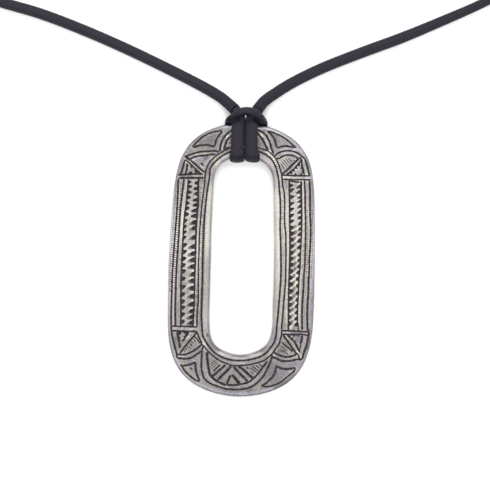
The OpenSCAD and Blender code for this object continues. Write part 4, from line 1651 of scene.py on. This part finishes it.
STAR_FIELDS = wedges(
    (-13.05, 22.35, -12.1, 21.45, -12.55, 20.85), (-12, 21.35, -10.9, 20.4, -11.05, 19.75, -11.6, 19.75),
    (-10.9, 20.4, -10.1, 19.8, -10.8, 19.75), (-13.6, 22.3, -13.7, 21.15, -13, 21.6),
    (-13.75, 21.1, -13.9, 20.1, -13.15, 20.6), (-13.5, 19.65, -11.9, 19.7, -12.6, 20.45),
    (13.1, 23.4, 12.35, 22.35, 13.1, 22.2), (12.3, 22.3, 11.7, 21.6, 12.65, 21.6),
    (11.7, 21.7, 11, 20.95, 12.05, 21), (11.1, 21.1, 10.3, 20.4, 11.5, 20.45),
    (13.6, 22.5, 13.05, 21.8, 13.8, 21.5), (13.8, 21.4, 13.35, 20.9, 14.05, 20.3),
    (11.6, 20, 12.6, 20, 12.1, 20.8), (12.8, 20, 14, 20, 13.4, 20.75),
    (-14.9, -17.5, -14.4, -18.6, -13.9, -18.3, -13.6, -17.5),
    (-13.5, -17.5, -12.35, -18.7, -11.8, -17.5), (-12.35, -18.2, -13.35, -18.6, -12.85, -19.2),
    (-12.8, -19.2, -13.8, -19.7, -13.35, -20.05), (-14.5, -18.4, -14.3, -19.4, -13.85, -19),
    (-6.9, -27.2, -6.3, -28.4, -5.4, -27.5), (12.4, -17.5, 13, -18.15, 13.4, -17.5),
    (13.5, -17.5, 14, -18.1, 14.4, -17.5), (11.2, -17.6, 11.85, -18.4, 12.4, -17.85),
    (12, -18.2, 12.65, -18.9, 12.95, -18.1), (12.7, -18.8, 13.25, -19.5, 13.45, -18.85),
    (14.95, -17.6, 14.35, -17.95, 14.9, -18.35), (14.9, -18.3, 14.2, -18.65, 14.8, -18.95),
    (14.8, -19, 14.05, -19.4, 14.7, -19.75),
)


def engraving() -> list[Cut | Wedge]:
    """All the cuts and wedges of the front."""
    marks = [*ROUND_THE_OPENING, *LEFT_BAR, *RIGHT_BAR, *TOP_LEFT, *TOP_CENTRE, *TOP_RIGHT]
    marks += [*BOTTOM_LEFT, *BOTTOM_CENTRE, *BOTTOM_RIGHT, *STAR_FIELDS]
    marks += bridges(*RIGHT_WEDGES[1:], BRIDGE_RISE)
    for column in LEFT_WEDGES + RIGHT_WEDGES:
        marks += column.wedges()
    for row in BEADS:
        marks += row.cuts()
    return marks


# The silver frame

@dataclass(frozen=True)
class Outline:
    """An oblong outline, x = half width * (1 - |y / half length| ^ ends) ^ (1 / sides).

    Attributes:
        width: Its width at half its length, in millimetres.
        length: Its length.
        taper: The share by which its lower end is wider.
        ends: The exponent of its ends.
        sides_below: The exponent of its sides at the lower end.
        sides_above: The exponent of its sides at the upper end.
        lean: The angle by which it leans to the left, in degrees.
        shift: How far its middle lies along the pendant.
        filed: How its sides were filed by hand: rows of a place along it, and how far its left and
            its right side lie to the right of the formula there.
    """

    width: float
    length: float
    taper: float
    ends: float
    sides_below: float
    sides_above: float
    lean: float
    shift: float
    filed: tuple

    STATIONS = 4000

    def points(self, spacing: float) -> np.ndarray:
        """Points of the outline, anticlockwise.

        Args:
            spacing: The distance between two points.

        Returns:
            Rows of u and v.
        """
        angle = np.linspace(0.0, 2 * math.pi, self.STATIONS + 1)
        y = np.sin(angle)
        sides = self.sides_below + (self.sides_above - self.sides_below) * (1 + y) / 2
        bulge = np.clip(1 - np.abs(y) ** self.ends, 0.0, 1.0) ** (1 / sides)
        x = np.where(np.cos(angle) < 0, -1, 1) * (1 - self.taper * y) * bulge * self.width / 2
        along = y * self.length / 2
        cos, sin = math.cos(math.radians(self.lean)), math.sin(math.radians(self.lean))
        loop = np.column_stack([x * cos - along * sin, x * sin + along * cos + self.shift])
        height, left, right = smooth_line(np.array(self.filed, float), 12).T
        aside = [np.interp(loop[:, 1], height, side) for side in (left, right)]
        loop[:, 0] += np.where(loop[:, 0] < 0, *aside)
        return evenly(loop, spacing, 2)[:-1]


def outward(loop: np.ndarray) -> np.ndarray:
    """The direction to the right of a closed loop's travel at each of its points."""
    ahead = np.roll(loop, -1, axis=0) - np.roll(loop, 1, axis=0)
    ahead /= np.linalg.norm(ahead, axis=1, keepdims=True)
    return np.column_stack([ahead[:, 1], -ahead[:, 0]])


def inside(points: np.ndarray, loop: np.ndarray) -> np.ndarray:
    """Whether each point lies inside a closed loop."""
    after = np.roll(loop, -1, axis=0)
    found = np.zeros(len(points), bool)
    for start, end in zip(loop, after):
        crosses = (start[1] > points[:, 1]) != (end[1] > points[:, 1])
        if start[1] != end[1]:
            u = start[0] + (points[:, 1] - start[1]) * (end[0] - start[0]) / (end[1] - start[1])
            found ^= crosses & (points[:, 0] < u)
    return found


@dataclass(frozen=True)
class EngravedFrame:
    """The open silver frame, whose front face carries the engraving.

    Attributes:
        outer: Its outline.
        opening: The outline of its opening.
        thick: Its thickness in millimetres.
        rim_width: The width of the smooth rim that slopes into the opening.
        rim_drop: The depth of that slope at the opening.
        edge: The width of the filed edge round the front.
        edge_drop: The depth of that edge at the outline.
        border: The width of the duller band along the outline.
        back_edge: The size of the eased edge round the back.
        spacing: The distance between points along the outlines.
        grain: The distance between points on the plain face.
    """

    outer: Outline = Outline(34.4, 64.5, 0.03, 5.2, 1.9, 2.1, 0.0, -0.36, (
        (-31, 0, 0), (-24, 0.2, -0.05), (-18, 0.25, 0.05), (-12, 0.25, 0.08), (-6, 0.08, 0.12),
        (0, 0, 0.1), (6, 0.08, 0.04), (12, 0.22, -0.04), (18, 0.22, 0), (24, 0.06, 0.25), (28, 0, 0.2),
        (30.5, 0, 0),
    ))
    opening: Outline = Outline(14.7, 47, 0.027, 11.5, 1.5, 1.5, 0.5, 0.7, (
        (-22, 0, 0), (-17, 0.15, 0.1), (-12, 0.15, 0.08), (-6, 0.15, 0.2), (0, 0.12, 0.24),
        (6, 0.06, 0.16), (12, 0.16, 0), (16, 0.2, -0.05), (20, 0, 0),
    ))
    thick: float = 2.5
    rim_width: float = 1.7
    rim_drop: float = 1.2
    edge: float = 1.0
    edge_drop: float = 0.5
    border: float = 1.2
    back_edge: float = 0.3
    spacing: float = 0.32
    grain: float = 0.62

    RIM_ROWS = ((0.0, 1.0), (0.1, 0.5), (0.36, 0.21), (0.7, 0.055), (1.0, 0.0))
    RIM_RINGS = (0.0, 0.06, 0.12, 0.24, 0.38, 0.54, 0.7, 0.85, 1.0)
    EDGE_RINGS = (0.0, 0.06, 0.16, 0.3, 0.5, 0.75, 1.0)
    BACK_ROWS = ((0.0, 1.0), (0.3, 0.3), (1.0, 0.0))
    # How points are scattered over the plain face, and how it is filed
    SEED = 7
    FIELD_U, FIELD_V = 18, 34
    SCATTER = 0.35
    MERGED = 1e-4
    BACK_MERGED = 1e-6
    FILING = 0.012
    FILING_FROM = 0.8
    SHARPEST = 32

    # How burnish and painted highlight follow the cuts, the rim and the distance from the middle
    CLOSENESS = 0.5
    SOFT = 0.4
    CROWD_FROM, CROWD_MOST = 1.3, 0.5
    RIDGE_MOST = 0.8
    MIDDLE_V = 5
    RIM_RIDGE, RIM_RIDGE_FALL = 0.9, 0.02
    RIM_POLISH, RIM_POLISH_FALL = 0.42, 0.018
    CROWD_POLISH, END_POLISH, END_FROM = 0.25, 0.6, 13

    def away(self, points: np.ndarray, outer: np.ndarray, opening: np.ndarray) -> list[np.ndarray]:
        """How far each point lies from the two outlines.

        Args:
            points: Rows of u and v.
            outer: The points of the outer outline.
            opening: The points of the opening's outline.

        Returns:
            The distances from the outer outline, and those from the opening's.
        """
        found = []
        for loop in (outer, opening):
            after = np.roll(loop, -1, axis=0)
            parts = [nearest(part, loop, after)[0].min(axis=1) for part in np.array_split(points, 40)]
            found.append(np.concatenate(parts))
        return found

    def face(self, points: np.ndarray, away: list[np.ndarray]) -> np.ndarray:
        """The height of the uncut front face.

        Args:
            points: Rows of u and v.
            away: How far they lie from the outer outline and from the opening's.

        Returns:
            The height above the back at each point.
        """
        rows = smooth_line(np.array(self.RIM_ROWS), 6)
        slope = np.interp(away[1] / self.rim_width, rows[:, 0], rows[:, 1]) * self.rim_drop
        short = np.clip(self.edge - away[0], 0.0, self.edge)
        filed = self.edge_drop * (1 - np.sqrt(1 - (short / self.edge) ** 2))
        u, v = points.T
        filing = self.FILING * (np.sin(u * 1.3 + v * 0.35) + np.sin(v * 0.9 - u * 0.5 + 1.0))
        inside_by = np.minimum(away[0] - self.edge, away[1] - self.rim_width)
        flat = np.clip(inside_by / self.FILING_FROM, 0.0, 1.0)
        return self.thick - slope - filed + filing * flat

    def rings(self) -> list[np.ndarray]:
        """The closed lines that the rim and the filed edge are drawn on, the outlines first."""
        outer, opening = self.outer.points(self.spacing), self.opening.points(self.spacing)
        loops = [outer - outward(outer) * self.edge * share for share in self.EDGE_RINGS]
        loops += [opening + outward(opening) * self.rim_width * share for share in self.RIM_RINGS]
        return loops

    def triangles(self, marks: list[Cut | Wedge], rings: list[np.ndarray]) -> tuple[np.ndarray, list]:
        """Parts the front face into triangles that follow the cuts' edges.

        Args:
            marks: The cuts and wedges.
            rings: The closed lines of the rim and of the filed edge.

        Returns:
            The points, and the triangles that lie on the face.
        """
        lines = [np.vstack([ring, ring[:1]]) for ring in rings]
        for mark in marks:
            lines += mark.rails()
        outer, opening = rings[0], rings[len(self.EDGE_RINGS)]
        random = np.random.default_rng(self.SEED)
        across = np.arange(-self.FIELD_U, self.FIELD_U, self.grain)
        u, v = np.meshgrid(across, np.arange(-self.FIELD_V, self.FIELD_V, self.grain))
        field = np.column_stack([u.ravel(), v.ravel()])
        field += random.uniform(-self.SCATTER, self.SCATTER, field.shape) * self.grain
        field = field[inside(field, outer - outward(outer) * self.edge)]
        field = field[~inside(field, opening + outward(opening) * self.rim_width)]
        corners = [Vector((float(p[0]), float(p[1]))) for p in np.vstack([*lines, field])]
        made = delaunay_2d_cdt(corners, edges_along(lines), [], 0, self.MERGED, False)
        points = np.array([tuple(p) for p in made[0]])
        faces = np.array(made[2])
        middles = points[faces].mean(axis=1)
        kept = inside(middles, outer) & ~inside(middles, opening)
        return points, faces[kept].tolist()

    def wear(self, points: np.ndarray, ridge: np.ndarray, away: list[np.ndarray]) -> dict[str, np.ndarray]:
        """Where the front is worn, duller or polished, and where it is painted with highlight and shade.

        Args:
            points: Rows of u and v.
            ridge: How closely each point is hemmed in by cuts, which is drawn as burnish
            and painted highlight.
            away: How far they lie from the outer outline and from the opening's.

        Returns:
            The shades that the finish reads, by name.
        """
        border = np.clip((self.border - away[0]) / self.SOFT, 0.0, 1.0)
        crowd = np.clip(ridge - self.CROWD_FROM, 0.0, self.CROWD_MOST)
        rim = np.clip((self.rim_width - away[1]) / self.SOFT, 0.0, 1.0)
        height = np.abs(points[:, 1] - self.MIDDLE_V)
        rim_ridge = rim * (self.RIM_RIDGE - self.RIM_RIDGE_FALL * height)
        ridge = np.maximum(np.minimum(ridge, self.RIDGE_MOST) + crowd, rim_ridge)
        polish = crowd * (self.CROWD_POLISH + self.END_POLISH * (height > self.END_FROM))
        polish = polish + rim * np.maximum(self.RIM_POLISH - self.RIM_POLISH_FALL * height, 0.0)
        polish += sum(patch.weight(points) for patch in WEAR)
        return {"ridge": ridge, "border": border, "polish": polish}

    def build(
        self, plane: PendantPlane, marks: list[Cut | Wedge], finish: bpy.types.Material,
    ) -> bpy.types.Object:
        """Builds the frame.

        Args:
            plane: The pendant's plane.
            marks: The cuts and wedges of the engraving.
            finish: The silver.

        Returns:
            The piece.
        """
        rings = self.rings()
        points, faces = self.triangles(marks, rings)
        depth, tarnish, ridge = np.zeros(len(points)), np.zeros(len(points)), np.zeros(len(points))
        for mark in marks:
            deep, dark = mark.bite.value
            share, away = mark.reach(points)
            depth = np.maximum(depth, share * deep)
            tarnish = np.maximum(tarnish, share * dark)
            ridge += (1 - away / FAR) * self.CLOSENESS
        away = self.away(points, rings[0], rings[len(self.EDGE_RINGS)])
        front = np.column_stack([points, self.face(points, away) - depth])
        vertices, faces = self.walled(front, faces)
        piece = new_object("engraved_frame", plane.place(vertices), faces)
        blank = np.zeros(len(piece.data.vertices) - len(points))
        for name, shades in {"tarnish": tarnish, **self.wear(points, ridge, away)}.items():
            store(piece.data, name, np.concatenate([shades, blank]))
        piece.data.shade_smooth()
        piece.data.set_sharp_from_angle(angle=math.radians(self.SHARPEST))
        piece.data.materials.append(finish)
        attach(piece, BODY)
        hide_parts("pendant_frame")
        return piece

    def walled(self, front: np.ndarray, faces: list) -> tuple[np.ndarray, list]:
        """Adds the walls and the back to the front face.

        Args:
            front: The front's points, u, v and w.
            faces: The front's triangles, anticlockwise from above.

        Returns:
            All the points and all the faces.
        """
        sides = {(f[i], f[(i + 1) % 3]) for f in faces for i in range(3)}
        onward = {a: b for a, b in sides if (b, a) not in sides}
        vertices, made, backs = [front], list(faces), []
        count = len(front)
        while onward:
            start, here = next(iter(onward.items()))
            loop = [start]
            onward.pop(start)
            while here != start:
                loop.append(here)
                here = onward.pop(here)
            rim = front[loop][:, :2]
            out = outward(rim)
            above = loop
            for inset, level in self.BACK_ROWS:
                ring = rim - out * self.back_edge * inset
                vertices.append(np.column_stack([ring, np.full(len(ring), level * self.back_edge)]))
                below = list(range(count, count + len(loop)))
                count += len(loop)
                joins = edges_along([loop], closed=True)
                made += [[above[i], below[i], below[j], above[j]] for i, j in joins]
                above = below
            backs.append((above, ring))
        backs.sort(key=lambda back: -len(back[0]))
        numbers = [n for ids, _ in backs for n in ids]
        corners = [Vector((float(p[0]), float(p[1]))) for _, ring in backs for p in ring]
        edges = edges_along([ids for ids, _ in backs], closed=True)
        filled = delaunay_2d_cdt(corners, edges, [], 0, self.BACK_MERGED, True)
        middles = np.array([tuple(p) for p in filled[0]])[np.array(filled[2])].mean(axis=1)
        kept = inside(middles, backs[0][1]) & ~inside(middles, backs[1][1])
        for face, keep in zip(filled[2], kept):
            if keep:
                made.append([numbers[filled[3][i][0]] for i in reversed(face)])
        return np.vstack(vertices), made


# The room

@dataclass(frozen=True)
class Studio:
    """The table, the light and the camera.

    Attributes:
        view_u: Where the middle of the picture falls across the pendant, in millimetres.
        view_v: Where it falls along the pendant.
        face_w: The height of the pendant's face above its back.
        picture_width: The width of the picture at that face, in metres.
        distance: How far the camera is from the face.
        roll: How far the pendant leans in the picture, in degrees.
        sensor: The width of the camera's sensor, in millimetres.
        zenith: The strength of the soft light overhead.
        walls: Its strength from the sides.
        horizon: Its strength at the level of the table.
    """

    view_u: float = 0.70
    view_v: float = 3.32
    face_w: float = 2.5
    picture_width: float = 0.11565
    distance: float = 0.6
    roll: float = 1.75
    sensor: float = 36.0
    zenith: float = 1.0
    walls: float = 1.35
    horizon: float = 0.42

    NEAREST, FARTHEST = 0.01, 10.0
    TABLE_HALF = 1.5
    TABLE_LEVEL = -0.00002
    LAMP_SIZE = 1.1
    LAMPS = (("Key", (0.05, 0.85, 1.0), 12.0), ("Fill", (-0.1, -0.6, 1.15), 6.5))

    def camera(self, plane: PendantPlane) -> None:
        """Sets the camera straight above the pendant.

        Args:
            plane: The pendant's plane.
        """
        made = bpy.data.cameras.new("Camera")
        made.sensor_width = self.sensor
        made.lens = self.sensor * self.distance / self.picture_width
        made.clip_start, made.clip_end = self.NEAREST, self.FARTHEST
        camera = bpy.data.objects.new("Camera", made)
        x, y, z = plane.place(np.array([[self.view_u, self.view_v, self.face_w]]))[0]
        camera.location = (x, y, z + self.distance)
        camera.rotation_euler = (0.0, 0.0, math.radians(self.roll))
        bpy.context.scene.collection.objects.link(camera)
        bpy.context.scene.camera = camera

    def lamp(self, name: str, place: tuple[float, float, float], size: float, power: float) -> None:
        """Adds a square soft light that shines at the pendant.

        Args:
            name: The light's name.
            place: Where it stands.
            size: The length of its side.
            power: Its power in watts.
        """
        light = bpy.data.lights.new(name, "AREA")
        light.shape = "SQUARE"
        light.size = size
        light.energy = power
        made = bpy.data.objects.new(name, light)
        made.location = place
        made.rotation_euler = Vector(place).to_track_quat("Z", "Y").to_euler()
        bpy.context.scene.collection.objects.link(made)

    def sky(self) -> None:
        """Fills the room with soft light, dimmer overhead and dark at the level of the table.

        It is a little stronger from the pendant's two long sides.
        """
        world = bpy.data.worlds.new("Soft room")
        world.use_nodes = True
        bench = NodeBench(world.node_tree)
        world.node_tree.nodes.clear()
        where = bench.node("ShaderNodeTexCoord").outputs["Generated"]
        axes = bench.node("ShaderNodeSeparateXYZ", {0: where})
        height, far = bench.field(axes, "Z"), bench.field(axes, "Y")
        walls = bench.ramp(height, 0.1, 0.42, self.horizon, self.walls)
        overhead = bench.ramp(height, 0.72, 0.97, 0.0, self.walls - self.zenith)
        side = bench.ramp(bench.math("ABSOLUTE", far), 0.2, 0.9, 1.12, 0.82)
        strength = (walls - overhead) * side
        glow = bench.node("ShaderNodeBackground", {"Color": (1.0, 1.0, 1.0, 1.0), "Strength": strength})
        bench.node("ShaderNodeOutputWorld", {"Surface": glow.outputs[0]})
        bpy.context.scene.world = world

    def table(self) -> None:
        """Lays the pale table."""
        side, level = self.TABLE_HALF, self.TABLE_LEVEL
        corners = [(-side, -side, level), (side, -side, level), (side, side, level), (-side, side, level)]
        table = new_object("table", np.array(corners), [[0, 1, 2, 3]])
        table.data.materials.append(TableFinish().material())

    def build(self, plane: PendantPlane) -> None:
        """Builds the room.

        Args:
            plane: The pendant's plane.
        """
        self.camera(plane)
        self.table()
        self.sky()
        for name, place, power in self.LAMPS:
            self.lamp(name, place, self.LAMP_SIZE, power)
        bpy.context.scene.view_settings.view_transform = "Standard"


def main() -> None:
    """Builds the pieces in order and reports each."""
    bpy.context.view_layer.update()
    plane = PendantPlane()
    Studio().build(plane)

    tree = BraidTree()
    black = CordFinish().material()
    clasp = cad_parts["clasp"]
    clasp.data.materials.clear()
    clasp.data.materials.append(ClaspFinish().material())
    hitch = Hitch().build(plane, tree, black)
    pieces = [hitch, clasp]
    pieces.append(LEFT_CORD.build(tree, black, [clasp, hitch]))
    pieces.append(RIGHT_CORD.build(tree, black, [clasp, hitch]))

    pieces.append(EngravedFrame().build(plane, engraving(), SilverFinish().material()))
    for piece in pieces:
        LOG.info("%s has %d faces", piece.name, len(piece.data.polygons))


if __name__ == "__main__":
    logging.basicConfig(level=logging.INFO, format="%(message)s")
    main()
